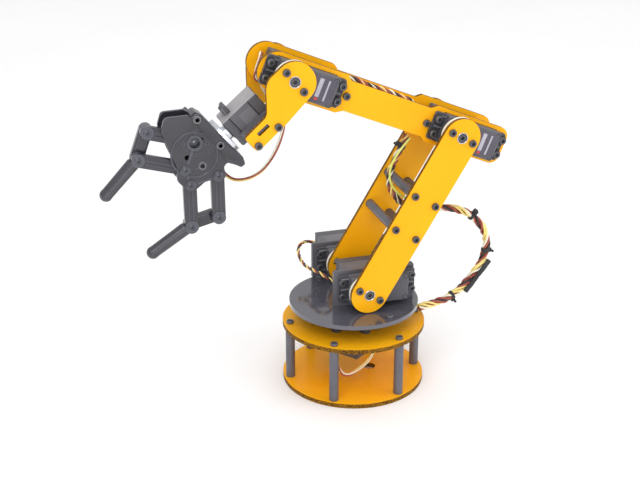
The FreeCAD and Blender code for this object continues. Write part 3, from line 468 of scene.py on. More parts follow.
def painted(material, *names):
    """Give CAD nodes that are shown as they are this finish."""
    for name in names:
        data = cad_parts[name].data
        data.materials.clear()
        data.materials.append(material)


painted(YELLOW_FLAT, "base_plate", "top_plate")
painted(YELLOW_UPRIGHT, "near_upper_arm_plate", "far_upper_arm_plate", "near_forearm_plate",
        "far_forearm_plate", "near_wrist_plate", "far_wrist_plate")
painted(POST, "base_posts", "upper_arm_rods", "forearm_posts", "wrist_posts", "palm_posts")
painted(DISC, "turntable_disc")
painted(BRACKET, "near_shoulder_bracket", "far_shoulder_bracket", "wrist_servo_cradle")
painted(HORN, "base_horn", "shoulder_horns", "elbow_horn", "wrist_horn")
painted(METAL_HORN, "wrist_rotate_horn")
painted(STEEL, "elbow_pivot_bolt", "wrist_pivot_bolt", "pivot_spacers")
painted(RUBBER, "forearm_grommets")
painted(PAD, "glide_pads")
painted(BOARD, "base_servo_drive", "shoulder_servo_drives", "forearm_servo_drives")

# ---- servos


def flipped(place, x=0.0, y=0.0, z=0.0):
    """Turned over, so local Z points the other way."""
    return shifted(place, x, y, z) @ Matrix.Rotation(math.pi, 4, "X")


STANDARD = {"length": 40.6, "width": 19.8, "below": 26.6, "above": 10.0, "ears": 54.4, "span": 49.5,
            "offset": 10.15, "lug": 19.2, "rows": (-5.0, 5.0), "ribs": (-7.4, 0.0, 7.4)}
COMPACT = {"length": 20.2, "width": 20.0, "below": 18.7, "above": 9.0, "ears": 34.0, "span": 27.4,
           "offset": 0.4, "lug": 8.0, "rows": (0.0,), "ribs": (-3.2, 3.2)}
SEAM_BELOW, SEAM_ABOVE, SEAM_INSET, SEAM_HALF = 7.0, 5.6, 0.35, 0.7
EAR, EAR_HOLE, EAR_CORNER = 2.5, 1.9, 1.6
RIB_HALF, RIB_REACH = 0.55, 0.8
CORNER_SCREW = 2.3
SIDE_PANEL, PANEL_RISE = 3.2, 0.12
LABEL_RISE = 0.32


def servo(name, place, body, stands_for, sizes=STANDARD, label=False, pale=False, boot=1, below=None):
    """A moulded servo: three shells with seams, drilled ears, screws, a boss and a lead boot."""
    made = Piece(name, CASE, GRIP_DARK, SCREW, LABEL, LABEL_BAR, LABEL_RED, RUBBER, PALE_TOP)
    centre = shifted(place, x=-sizes["offset"])
    half, side = sizes["length"] / 2, sizes["width"] / 2
    low, high = -(below or sizes["below"]), sizes["above"]
    seam_low, seam_high = low + SEAM_BELOW, high - SEAM_ABOVE
    shells = [(low, seam_low - 0.2, 1.0, 3), (seam_low + 0.1, seam_high - 0.15, 0.6, 2),
              (seam_high + 0.15, high, 1.0, 3)]
    for start, end, bevel, segments in shells:
        made.box((-half, -side, start), (half, side, end), centre, CASE, bevel, segments)
    for seam in (seam_low, seam_high):
        made.box((-half + SEAM_INSET, -side + SEAM_INSET, seam - SEAM_HALF),
                 (half - SEAM_INSET, side - SEAM_INSET, seam + SEAM_HALF), centre, GRIP_DARK, 0.2, 1)

    flange, lug = sizes["ears"] / 2, sizes["lug"] / 2
    holes = [ring_of(sx * sizes["span"] / 2, y, EAR_HOLE, 20) for sx in (-1, 1) for y in sizes["rows"]]
    edge = rounded([(sx * flange, sy * lug, EAR_CORNER)
                    for sx, sy in ((-1, -1), (1, -1), (1, 1), (-1, 1))])
    made.plate([edge] + holes, 0.0, EAR, centre, CASE, 0.35)
    for sx in (-1, 1):
        start, end = sorted((sx * (half - 0.5), sx * (half + (flange - half) * RIB_REACH)))
        for y in sizes["ribs"]:
            made.box((start, y - RIB_HALF, EAR - 0.2), (end, y + RIB_HALF, EAR + 1.4), centre, CASE,
                     0.3, 1)
        for sy in (-1, 1):
            corner = (sx * (half - CORNER_SCREW), sy * (side - CORNER_SCREW))
            made.tube(1.9, 1.5, high - 0.3, high + 0.12, shifted(centre, *corner), GRIP_DARK, 20, 0.1)
            made.screw(flipped(centre, *corner, low - 0.02), 1.5, 0.35, SCREW)
    made.lathe([(6.6, high - 0.3), (6.6, high + 0.15), (5.9, high + 0.35), (5.6, high + 0.6),
                (3.1, high + 0.6), (3.05, high - 1.0)], place, CASE, 32)

    middle = -(abs(low) - SEAM_BELOW) / 2
    for sy in (-1, 1):
        start, end = sorted((sy * side, sy * (side + PANEL_RISE)))
        made.box((-half + SIDE_PANEL, start - 0.04, middle - 5),
                 (half - SIDE_PANEL, end + 0.02, middle + 4.2), centre, CASE, 0.06, 1)
    if boot:
        start, end = sorted((boot * (half - 0.6), boot * (half + 2.0)))
        made.box((start, -3.0, low + 2.6), (end, 3.0, low + 6.2), centre, RUBBER, 0.7, 2)
    if label:
        made.box((-half + 1.5, -side + 1.8, high - 0.2), (-half + 16.5, side - 1.8, high + 0.22),
                 centre, LABEL, 0.15, 1)
        for start, end, front, back, kind in ((10.6, 13.4, -side + 3.2, side - 4.6, LABEL_BAR),
                                              (6.2, 7.4, -side + 3.2, side - 3.2, LABEL_BAR),
                                              (10.9, 13.1, side - 4.2, side - 2.4, LABEL_RED)):
            made.box((-half + start, front, high), (-half + end, back, high + LABEL_RISE), centre, kind,
                     0.1, 1)
    if pale:
        made.box((half - 0.4, -side + 0.25, low + 0.3), (half + 0.12, side - 0.25, high - 0.3), centre,
                 PALE_TOP, 0.2, 2)
        made.box((half - 0.3, -side + 2.4, low + 5.6), (half + 0.2, -side + 3.2, high - 4), centre,
                 PALE_TOP, 0.1, 1)
    return made.made(body, "servo_black", [stands_for])


def flat(x, y, z, angle=0.0):
    """Local Z upwards, local X at this angle from +X in the floor's plane."""
    t = math.radians(angle)
    return axes((x, y, z), (math.cos(t), math.sin(t), 0), (0, 0, 1))


FORE_DIR = (math.cos(math.radians(FORE_ANGLE)), 0, math.sin(math.radians(FORE_ANGLE)))
BASE_SERVO_TURN, SHOULDER_SPACING, ROTATE_ALONG = 128.0, 51.4, 41.0
base_servo = flat(0, 0, TOP_FACE, BASE_SERVO_TURN)
near_servo = axes((SHOULDER[0], FORE_NEAR, SHOULDER[1]), (1, 0, 0), (0, 1, 0))
far_servo = axes((SHOULDER[0], FORE_NEAR - SHOULDER_SPACING, SHOULDER[1]), (1, 0, 0), (0, 1, 0))
elbow_servo = axes((ELBOW[0], FORE_NEAR, ELBOW[1]), FORE_DIR, (0, 1, 0))
wrist_servo = axes((WRIST[0], FORE_NEAR, WRIST[1]), FORE_DIR, (0, 1, 0))
hand_turn = math.radians(HAND_ANGLE)
ALONG = Vector((math.cos(hand_turn), 0, math.sin(hand_turn)))
ACROSS = Vector((-math.sin(hand_turn), 0, math.cos(hand_turn)))
rotate_servo = axes(Vector((HAND[0], 0, HAND[1])) + ALONG * ROTATE_ALONG, ACROSS, ALONG)

# The gripper's four-bar links: lengths, then angles and pins in the hand's own (u, v).
CRANK, BAR = 29.5, 18.5
OPEN_UPPER, OPEN_LOWER, BAR_UPPER, BAR_LOWER = 56.0, -49.8, -29.0, 26.3
UPPER_CRANK_ROOT, LOWER_CRANK_ROOT = (86.6, 3.6), (91.0, -6.0)
UPPER_ROCKER_ROOT = ahead(UPPER_CRANK_ROOT, BAR_UPPER, -BAR)
LOWER_ROCKER_ROOT = ahead(LOWER_CRANK_ROOT, BAR_LOWER, -BAR)
PALM_INNER, PALM_OUTER, GAP = 5.8, 8.3, 0.3
GRIP_EARS = -PALM_OUTER - GAP - COMPACT["above"]
grip_origin = on_hand(*UPPER_ROCKER_ROOT, GRIP_EARS).translation
grip_servo = axes(grip_origin, ACROSS, (0, 1, 0))

servo("base_servo", base_servo, "base", "base_servo_case", boot=-1)
servo("near_shoulder_servo", near_servo, "turntable", "near_shoulder_servo_case")
servo("far_shoulder_servo", far_servo, "turntable", "far_shoulder_servo_case")
servo("elbow_servo", elbow_servo, "forearm", "elbow_servo_case", label=True, boot=0)
servo("wrist_servo", wrist_servo, "forearm", "wrist_servo_case", label=True, boot=0)
servo("wrist_rotate_servo", rotate_servo, "wrist", "wrist_rotate_servo_case", COMPACT, pale=True,
      boot=0)
servo("gripper_servo", grip_servo, "hand", "gripper_servo_case", COMPACT, below=11.0, boot=0)

# ---- fasteners and pivots


def ear_points(sizes=STANDARD):
    """The holes in a servo's ears, from its shaft."""
    return [(-sizes["offset"] + sx * sizes["span"] / 2, y) for sx in (-1, 1) for y in sizes["rows"]]


def screws(name, body, stands_for, places, extra=()):
    """A set of dark cap screws, and extra ones of their own radius, height and finish."""
    made = Piece(name, SCREW, POST)
    for place in places:
        made.screw(place)
    for one in extra:
        made.screw(*one)
    return made.made(body, "screw", [stands_for])


POST_CIRCLE, FIRST_POST, GROMMET = 44.7, -4.7, 1.6
post_spots = [(POST_CIRCLE * math.cos(math.radians(a)), POST_CIRCLE * math.sin(math.radians(a)))
              for a in (FIRST_POST + 60 * i for i in range(6))]
base_set = Piece("base_screw_set", SCREW, POST)
for x, y in post_spots:
    base_set.screw(flat(x, y, TOP_FACE), 2.5, 2.0, POST)
    base_set.lathe([(1.4, 1.9), (3.0, 0.1), (2.9, 0.03), (1.4, 0.03), (1.2, 0.1), (1.2, 1.1)],
                   flat(x, y, 0), SCREW, 24, 3)
for x, y in ear_points():
    base_set.screw(shifted(base_servo, x, y, EAR))
base_set.made("base", "screw", ["base_screws"])

bracket_spots = [(-30, -6), (-17, -6), (-14, -33.5), (3, -33.5)]
disc_spots = [(-13.2, 36.7), (13.2, -38.0)]
screws("turntable_screw_set", "turntable", "turntable_screws",
       [shifted(servo_place, x, y, EAR) for servo_place in (near_servo, far_servo)
        for x, y in ear_points()],
       [(flat(x, y, DISC_TOP + BRACKET_FOOT), 2.2, 0.3, SCREW) for x, y in bracket_spots]
       + [(flat(x, y, DISC_TOP), 2.5, 2.0, POST) for x, y in disc_spots])

upper_near = upright(SHOULDER[0], ARM_OUTER, SHOULDER[1], UPPER_ANGLE)
upper_far = upright(SHOULDER[0], -ARM_OUTER, SHOULDER[1], UPPER_ANGLE)
rod_spots = [(u, v) for u in (47.6, 73.0) for v in (-8.3, 8.3)]
horn_row = [(0, -8.3), (0, 8.3)]
screws("upper_arm_screw_set", "upper_arm", "upper_arm_screws",
       [to_near(shifted(upper_near, u, v)) for u, v in rod_spots]
       + [to_far(shifted(upper_far, u, v)) for u, v in rod_spots]
       + [to_near(shifted(upper_near, u + x, y)) for u in (0, LINK) for x, y in horn_row])
fore_near = upright(ELBOW[0], FORE_NEAR, ELBOW[1], FORE_ANGLE)
fore_far = upright(ELBOW[0], FORE_FAR - PLATE, ELBOW[1], FORE_ANGLE)
fore_rods = [(19.9, -0.5), (79.3, -0.5)]
screws("forearm_screw_set", "forearm", "forearm_screws",
       [to_near(shifted(fore_near, u, v)) for u, v in fore_rods]
       + [to_far(shifted(fore_far, u, v)) for u, v in fore_rods]
       + [shifted(place, x, y, EAR + GROMMET) for place in (elbow_servo, wrist_servo)
          for x, y in ear_points()])
wrist_near = upright(WRIST[0], ARM_OUTER, WRIST[1], HAND_ANGLE)
wrist_far = upright(WRIST[0], -ARM_OUTER, WRIST[1], HAND_ANGLE)
wrist_spots = [(25.9, -13.6), (42.6, -13.6)]
screws("wrist_screw_set", "wrist", "wrist_screws",
       [to_near(shifted(wrist_near, u, v)) for u, v in wrist_spots + horn_row]
       + [to_far(shifted(wrist_far, u, v)) for u, v in wrist_spots]
       + [shifted(rotate_servo, x, y, EAR) for x, y in ear_points(COMPACT)])


def pivot_rings(name, body, spots):
    """A bright ring round each plate's centre hole, with a dark screw sunk inside it."""
    ring, rim, bore, head, sunk = 3.75, 3.15, 2.9, 2.85, 2.9
    made = Piece(name, STEEL, SCREW)
    for x, z in spots:
        place = axes((x, ARM_OUTER, z), (1, 0, 0), (0, 1, 0))
        made.tube(ring, rim, 0.0, 0.75, place, STEEL, 36, 0.2)
        made.tube(rim, bore, -sunk, 0.1, place, SCREW, 36, 0.1)
        made.screw(shifted(place, z=-sunk), head, sunk + 0.4, SCREW)
    return made.made(body, "bolt")


pivot_rings("upper_arm_pivot_bushes", "upper_arm", (SHOULDER, ELBOW))
pivot_rings("wrist_pivot_bush", "wrist", (WRIST,))

# ---- gripper

# Outlines in the hand's own (u, v), with each corner's radius.
COVER = [(56.4, -12, 3), (68.0, -12, 3), (70.9, -18.2, 3.6), (77.9, -18.2, 3.6), (81, -11, 3),
         (89.5, -10.7, 4), (95.0, -8.6, 4), (95.0, 2.2, 4), (88.8, 9.5, 4), (86.2, 18, 6),
         (80.2, 33, 4), (72.8, 37.6, 3), (61.4, 28.6, 1.5), (60.9, 25.8, 1), (56.4, 25.8, 2)]
WEDGE = [(55.2, -17.5, 1), (56.8, -20.8, 1.5), (60.6, -20.4, 1.5), (66.8, -9.5, 2),
         (64.5, 0, 3), (64.5, 12, 3), (61.6, 26.8, 2.4), (56.8, 26.8, 2.2), (55.2, 21.5, 1)]
COVER_SCREWS = [(59.1, 23.0), (60.0, 0.5)]
MIDDLE_POST = (77.0, -1.5)
DRUM = (75.7, 7.2)
BOSS, EYELETS = 4.4, 7.6
PIN_ROOTS = [UPPER_CRANK_ROOT, LOWER_CRANK_ROOT, LOWER_ROCKER_ROOT]
PIN_HOLE, SCREW_HOLE = 1.95, 1.6
palm = Piece("palm_body", GRIP)
palm_place = on_hand(0, 0, 0)
cover_screw_holes = [ring_of(*s, SCREW_HOLE, 20) for s in COVER_SCREWS]
palm.plate([rounded(WEDGE)] + cover_screw_holes, -PALM_INNER, PALM_INNER, palm_place, GRIP, 0.6)
palm.made("hand", "gripper_black", ["palm_block"])


def cover(name, low, high, extra_holes):
    """One of the palm's side plates, drilled for the pins and screws."""
    made = Piece(name, GRIP)
    holes = [ring_of(*s, PIN_HOLE, 20) for s in PIN_ROOTS]
    holes += [ring_of(*s, SCREW_HOLE, 18) for s in COVER_SCREWS + [MIDDLE_POST]]
    holes += [ring_of(*hole) for hole in extra_holes]
    made.plate([rounded(COVER)] + holes, low, high, palm_place, GRIP, 0.5)
    return made


near_cover = cover("palm_near_plate", -PALM_OUTER, -PALM_INNER,
                   [(*UPPER_ROCKER_ROOT, 3.175), (65.9, 11.3, 1.3), (80.2, 9.0, 1.5)])


def on_near_face(u, v, out=0.0):
    """A place on the near cover's face, local Z outwards."""
    spot = on_hand(u, v, PALM_OUTER + out).translation
    return axes(spot, ALONG, (0, 1, 0))


# The near cover's relief: bosses, rings round the drum, ribs between the pins, and a bar at the back.
for root in PIN_ROOTS:
    near_cover.tube(3.6, PIN_HOLE, -0.1, 0.8, on_near_face(*root), GRIP, 28, 0.25)
near_cover.tube(5.2, 3.2, -0.1, 0.7, on_near_face(*UPPER_ROCKER_ROOT), GRIP, 36, 0.25)
near_cover.tube(3.1, SCREW_HOLE, -0.1, 0.35, on_near_face(*MIDDLE_POST), GRIP, 24, 0.12)
for root in COVER_SCREWS:
    near_cover.tube(2.6, SCREW_HOLE, 1.3, 1.65, on_near_face(*root), GRIP, 24, 0.12)
rib_ends = [(UPPER_CRANK_ROOT, UPPER_ROCKER_ROOT), (LOWER_CRANK_ROOT, LOWER_ROCKER_ROOT),
            (UPPER_CRANK_ROOT, LOWER_CRANK_ROOT)]
near_cover.tube(15.2, 14.0, -0.1, 0.55, on_near_face(*DRUM), GRIP, 64, 0.3)
near_cover.tube(9.6, 8.9, -0.1, 0.4, on_near_face(*DRUM), GRIP, 48, 0.2)
for first, last in rib_ends:
    span = math.hypot(last[0] - first[0], last[1] - first[1])
    angle = math.degrees(math.atan2(last[1] - first[1], last[0] - first[0]))
    rib = on_hand(*first, PALM_OUTER + 0.35, angle)
    near_cover.box((BOSS, -0.8, -0.05), (span - BOSS, 0.8, 0.5), rib, GRIP, 0.25, 2)
for i in range(4):
    t = math.radians(45 + 90 * i)
    spot = on_near_face(UPPER_ROCKER_ROOT[0] + EYELETS * math.cos(t),
                        UPPER_ROCKER_ROOT[1] + EYELETS * math.sin(t))
    near_cover.tube(1.5, 0.8, -0.1, 0.45, spot, GRIP, 18, 0.12)
WING = [(55.6, -17.3, 1), (57.0, -20.4, 1.5), (60.4, -20.0, 1.5), (64.4, -9.6, 2), (62.2, 0, 3),
        (62.2, 12, 3), (61.4, 26.4, 2.3), (57.0, 26.4, 2.2), (55.6, 21.4, 1)]
near_cover.plate([rounded(WING)] + cover_screw_holes, -PALM_OUTER - 1.4, -PALM_OUTER + 0.1, palm_place,
                 GRIP, 0.6)
near_cover.made("hand", "gripper_black", ["palm_near_cover"])
grip_ears = [(UPPER_ROCKER_ROOT[0] + y, UPPER_ROCKER_ROOT[1] + x) for x, y in ear_points(COMPACT)]
far_cover = cover("palm_far_plate", PALM_INNER, PALM_OUTER, [(*UPPER_ROCKER_ROOT, 6.0), (80.2, 9.0, 2.6)]
                  + [(u, v, SCREW_HOLE) for u, v in grip_ears])
far_cover.made("hand", "gripper_black", ["palm_far_cover"])

palm_set = Piece("palm_screw_set", SCREW, BUSH)
for (u, v), rise in zip(COVER_SCREWS + [MIDDLE_POST], (1.6, 1.6, 0.3)):
    palm_set.screw(on_near_face(u, v, rise), 1.9, 1.2, SCREW)
    palm_set.tube(2.4, 1.85, rise, rise + 0.5, on_near_face(u, v), BUSH, 28, 0.1)
for u, v in grip_ears:
    palm_set.screw(to_far(on_hand(u, v, GRIP_EARS)))
palm_set.made("hand", "screw", ["palm_screws"])
pins = Piece("palm_pin_set", GRIP)
for u, v in PIN_ROOTS:
    pins.lathe([(1.9, -2 * PALM_OUTER), (1.9, -0.2), (2.7, 0.75), (2.75, 1.2), (2.2, 1.7), (1.0, 1.85),
                (0.5, 1.5), (0.4, 1.4)], on_near_face(u, v), GRIP, 24)
pins.made("hand", "gripper_pin", ["palm_pins"])

LAYER, LINK_RADIUS, OPEN_HOLE = 5.0, 4.39, 2.25
TOOTH_STEP = 36.0
GEAR_PITCH = math.hypot(UPPER_CRANK_ROOT[0] - LOWER_CRANK_ROOT[0],
                        UPPER_CRANK_ROOT[1] - LOWER_CRANK_ROOT[1]) / 2
TO_LOWER = math.degrees(math.atan2(LOWER_CRANK_ROOT[1] - UPPER_CRANK_ROOT[1],
                                   LOWER_CRANK_ROOT[0] - UPPER_CRANK_ROOT[0]))


def gripper_link(name, body, root, angle, hole=PIN_HOLE, gear=None, shaft=False):
    """A rounded link with two ridges on each face and a boss at both pins; gear gives its teeth's middle."""
    made = Piece(name + "_moulding", GRIP, STEEL)
    place = on_hand(*root, LAYER + GAP, angle)
    first = [] if shaft else [ring_of(0, 0, PIN_HOLE, 20)]
    made.plate([bar_of(CRANK, LINK_RADIUS)] + first + [ring_of(CRANK, 0, hole, 20)], 0.55, LAYER - 0.55,
               place, GRIP, 0.4)
    made.box((3.4, -4.35, 0.45), (CRANK - 3.4, 4.35, LAYER - 0.45), place, GRIP, 1.9, 5)
    for low, high in ((0.0, 0.7), (LAYER - 0.7, LAYER)):
        for side in (-1, 1):
            y_low, y_high = sorted((side * 0.7, side * 1.9))
            made.box((4.2, y_low, low), (CRANK - 4.2, y_high, high), place, GRIP, 0.45, 3)
        for x, r in ((0, 0.5 if shaft else PIN_HOLE), (CRANK, hole)):
            made.tube(BOSS, r, low, high, shifted(place, x=x), GRIP, 32, 0.3)
    if gear is not None:
        facing, phase = gear
        for i in range(-2, 3):
            tooth = on_hand(*root, LAYER + GAP, facing + (i + phase) * TOOTH_STEP)
            outline = rounded([(3.0, -1.05, 0), (GEAR_PITCH - 0.5, -0.85, 0.2),
                               (GEAR_PITCH + 0.65, -0.4, 0.15), (GEAR_PITCH + 0.65, 0.4, 0.15),
                               (GEAR_PITCH - 0.5, 0.85, 0.2), (3.0, 1.05, 0)], 2)
            made.plate([outline], 0.1, LAYER - 0.1, tooth, GRIP, 0.12)
    if shaft:
        made.lathe([(2.6, -5.0), (2.9, -4.7), (2.9, 12.0), (2.6, 12.3)], on_hand(*root, 0.0), STEEL,
                   24)
    return made.made(body, "gripper_black", [name])


SLEEVE_GAP, SLEEVE_RADIUS, SLEEVE_LENGTH, DOME = 5.0, 4.3, 25.0, 4.25


def fingertip(name, body, root, open_angle, bar_angle, tip_angle):
    """The finger's bar with its pin heads, a square collar, and a round-ended sleeve."""
    made = Piece(name + "_moulding", GRIP, TIP)
    start = ahead(root, open_angle, CRANK)
    finish = ahead(start, bar_angle, BAR)
    place = on_hand(*start, -GAP, bar_angle)
    made.plate([bar_of(BAR, LINK_RADIUS)], 0.5, LAYER - 0.1, place, GRIP, 0.45)
    made.box((3.4, -4.35, 0.02), (BAR - 3.4, 4.35, LAYER - 0.1), place, GRIP, 2.1, 5)
    for spot in (start, finish):
        pin = to_near(on_hand(*spot, -GAP - 0.5))
        made.tube(BOSS, 1.0, -LAYER + 0.6, 0.45, pin, GRIP, 32, 0.3)
        made.lathe([(1.9, 0.2), (1.9, 5.85), (2.5, 5.9), (2.55, 6.35), (2.1, 6.75), (0.9, 6.9), (0.8, 6.6),
                    (0.3, 6.6)], pin, GRIP, 24)
        made.lathe([(1.6, 4.9), (2.9, 5.05), (3.05, 5.5), (2.4, 6.0), (1.0, 6.1)],
                   flipped(pin), GRIP, 24)
    tip = ahead(finish, tip_angle, SLEEVE_GAP)
    x, z = ahead(HAND, HAND_ANGLE, *tip)
    tilt = math.radians(HAND_ANGLE + tip_angle)
    rod = axes((x, 0, z), (0, 1, 0), (math.cos(tilt), 0, math.sin(tilt)))
    made.lathe([(2.6, -7.0), (3.5, -6.6), (4.1, -5.6), (4.15, -2.2), (3.75, -1.8), (3.75, -0.9)], rod,
               GRIP, 32)
    sleeve = [(3.6, -1.3), (4.2, -1.15), (SLEEVE_RADIUS, -0.7)]
    sleeve += [(SLEEVE_RADIUS - 0.012 * i - 0.05 * (i % 2), 0.8 + 1.15 * i) for i in range(20)]
    sleeve += [(DOME * math.cos(math.radians(t)), SLEEVE_LENGTH + DOME * math.sin(math.radians(t)))
               for t in range(8, 81, 12)]
    made.lathe(sleeve, rod, TIP, 36)
    made.box((-2.6, -3.9, -8.6), (2.6, 3.9, -4.6), rod, GRIP, 0.8, 2)
    return made.made(body, "gripper_black", [name])


gripper_link("upper_rocker", "upper_rocker", UPPER_ROCKER_ROOT, OPEN_UPPER, shaft=True)
gripper_link("upper_crank", "upper_crank", UPPER_CRANK_ROOT, OPEN_UPPER, OPEN_HOLE,
             (TO_LOWER, 0.0))
gripper_link("lower_crank", "lower_crank", LOWER_CRANK_ROOT, OPEN_LOWER, OPEN_HOLE,
             (TO_LOWER + 180, 0.5))
gripper_link("lower_rocker", "lower_rocker", LOWER_ROCKER_ROOT, OPEN_LOWER)
fingertip("upper_finger", "upper_finger", UPPER_ROCKER_ROOT, OPEN_UPPER, BAR_UPPER, -6.0)
fingertip("lower_finger", "lower_finger", LOWER_ROCKER_ROOT, OPEN_LOWER, BAR_LOWER, 7.6)

# ---- wires

ROUTE_STEPS, WIRE_STEP, WIRE_SIDES = 14, 1.1, 8
# How fast the loose wires' wobble runs round the bundle and outwards, per step.
WOBBLE_ROUND, WOBBLE_OUT = 0.23, 0.31
Bundle = namedtuple("Bundle", "piece spots along sides length")


def route_of(points):
    """The smooth line of a cable: a NURBS spline with the route's points as its control points."""
    data = bpy.data.curves.new("route", "CURVE")
    data.dimensions = "3D"
    data.resolution_u = ROUTE_STEPS
    spline = data.splines.new("NURBS")
    spline.points.add(len(points) - 1)
    for point, spot in zip(spline.points, points):
        point.co = (*spot, 1)
    spline.order_u = 3
    spline.use_endpoint_u = True
    mesh = mesh_of(data)
    line = [v.co.copy() for v in mesh.vertices]
    bpy.data.meshes.remove(mesh)
    return line


def stepped(line):
    """The same line in even steps, with its directions and a frame that doesn't twist."""
    lengths = [0.0]
    for a, b in zip(line, line[1:]):
        lengths.append(lengths[-1] + (b - a).length)
    count = max(4, round(lengths[-1] / WIRE_STEP))
    spots = []
    j = 0
    for i in range(count + 1):
        want = lengths[-1] * i / count
        while j < len(line) - 2 and lengths[j + 1] < want:
            j += 1
        share = (want - lengths[j]) / max(1e-9, lengths[j + 1] - lengths[j])
        spots.append(line[j].lerp(line[j + 1], share))
    along = [(spots[min(i + 1, count)] - spots[max(i - 1, 0)]).normalized() for i in range(count + 1)]
    side = along[0].orthogonal().normalized()
    sides = []
    for direction in along:
        side = (side - direction * side.dot(direction)).normalized()
        sides.append(side.copy())
    return spots, along, sides, lengths[-1]


def wound(offset, *colours, start=0.0):
    """Strands spaced evenly round a bundle, each as (material, offset, phase)."""
    return [(colour, offset, math.tau * i / len(colours) + start) for i, colour in enumerate(colours)]


def wires(name, points, strands, pitch, thick, body, stands_for, other=None, slack=0.0):
    """A bundle of insulated wires wound round one route, with more wobble for more slack."""
    spots, along, sides, length = stepped(route_of(points))
    made = Piece(name, *dict.fromkeys(s[0] for s in strands))
    for material, offset, phase in strands:
        verts = []
        for i, (spot, direction, side) in enumerate(zip(spots, along, sides)):
            up = direction.cross(side)
            turn = math.tau * i / (len(spots) - 1) * length / pitch + phase
            turn += slack * math.sin(WOBBLE_ROUND * i + 2.0 * phase)
            away = offset * (1 + 0.5 * slack * math.sin(WOBBLE_OUT * i + 3.0 * phase))
            centre = spot + (side * math.cos(turn) + up * math.sin(turn)) * away
            for k in range(WIRE_SIDES):
                t = math.tau * k / WIRE_SIDES
                verts.append(centre + (side * math.cos(t) + up * math.sin(t)) * thick)
        made.take(verts, skin(len(spots), WIRE_SIDES), Matrix.Identity(4), material)
    thing = made.made(None, "wire", [stands_for] if stands_for else [], smooth=60)
    join(thing, body, other)
    return Bundle(thing, spots, along, sides, length)


def join(thing, body, other):
    """Ride on one body; with a second body given, stay fixed where it stands, its place baked into the mesh.
    """
    if other is None:
        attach(thing, body)
    else:
        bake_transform(thing)


def ties(name, bundle, fractions, radius, body, other):
    """Cable ties: a band, its square head and the clipped tail."""
    made = Piece(name, RUBBER)
    for fraction, turn in fractions:
        i = round(fraction * (len(bundle.spots) - 1))
        place = turned(axes(bundle.spots[i], bundle.sides[i], bundle.along[i]), turn)
        made.tube(radius + 0.55, radius - 0.25, -1.1, 1.1, place, RUBBER, 28, 0.2)
        made.box((radius + 0.1, -1.9, -1.6), (radius + 2.9, 1.9, 1.6), place, RUBBER, 0.45, 2)
        made.box((radius + 0.9, 1.2, -0.85), (radius + 1.5, 4.6, 0.85), place, RUBBER, 0.2, 1)
    thing = made.made(None, "wire")
    join(thing, body, other)
    return thing


def in_plane(origin, angle, u, v, y):
    """A point u along and v across a link that starts at this pin."""
    x, z = ahead(origin, angle, u, v)
    return (x, y, z)


HARNESS = wound(1.45, WIRE_BLACK, WIRE_RED, WIRE_YELLOW, WIRE_RED, WIRE_BLACK, WIRE_CREAM)
HARNESS.append((WIRE_YELLOW, 0.0, 0.0))
SLIM, HARNESS_WIRE, LEAD_WIRE = 0.68, 0.78, 0.6

REAR = [(-49.9, -1, 119.6), (-60.0, -1, 118.6), (-71.5, 0.5, 117.6), (-82.5, 2.5, 113.5),
        (-91.5, 4, 104.5), (-96.5, 5, 93.5), (-94.6, 5.8, 82.5), (-89.5, 7, 73.0), (-82.0, 8, 64.8),
        (-73.5, 9.3, 57.8), (-64.0, 10.5, 53.8), (-53.5, 11.5, 51.8), (-43.6, 12.2, 50.8)]
REAR_STRANDS = wound(1.85, WIRE_CREAM, WIRE_YELLOW, WIRE_YELLOW, WIRE_RED, WIRE_BLACK, WIRE_RED,
                     start=1.2)
REAR_STRANDS.append((WIRE_RED, 0.0, 0.0))
rear = wires("rear_wires", REAR, REAR_STRANDS, 24.0, 0.85, "upper_arm", "rear_harness",
             "turntable", slack=0.3)
rear_ties = ties("rear_ties", rear, [(0.27, 150), (0.50, 90), (0.80, 90)], 2.6, "upper_arm",
                 "turntable")
sleeve = Piece("rear_lead_connector", RUBBER, GRIP_DARK)
SLEEVE_SHARE, SLEEVE_OUT = 0.635, 2.9
middle = round(SLEEVE_SHARE * (len(rear.spots) - 1))
lead_way = rear.along[middle]
outward = Vector((-0.7, 0.45, -0.6))
outward = (outward - lead_way * outward.dot(lead_way)).normalized()
block = axes(rear.spots[middle] + outward * SLEEVE_OUT, outward, lead_way)
sleeve.box((-1.5, -3.7, -14.0), (1.5, 3.7, -0.3), block, RUBBER, 0.5, 2)
sleeve.box((-1.2, -3.4, -0.4), (1.2, 3.4, 0.4), block, GRIP_DARK, 0.1, 1)
sleeve.box((-1.5, -3.7, 0.3), (1.5, 3.7, 14.0), block, RUBBER, 0.5, 2)
for y in (-2.5, 0, 2.5):
    sleeve.box((1.35, y - 0.6, -9.5), (1.65, y + 0.6, -5.0), block, GRIP_DARK, 0.1, 1)
    sleeve.box((1.35, y - 0.6, 5.0), (1.65, y + 0.6, 9.5), block, GRIP_DARK, 0.1, 1)
connector = sleeve.made(None, "wire")
join(connector, "upper_arm", "turntable")

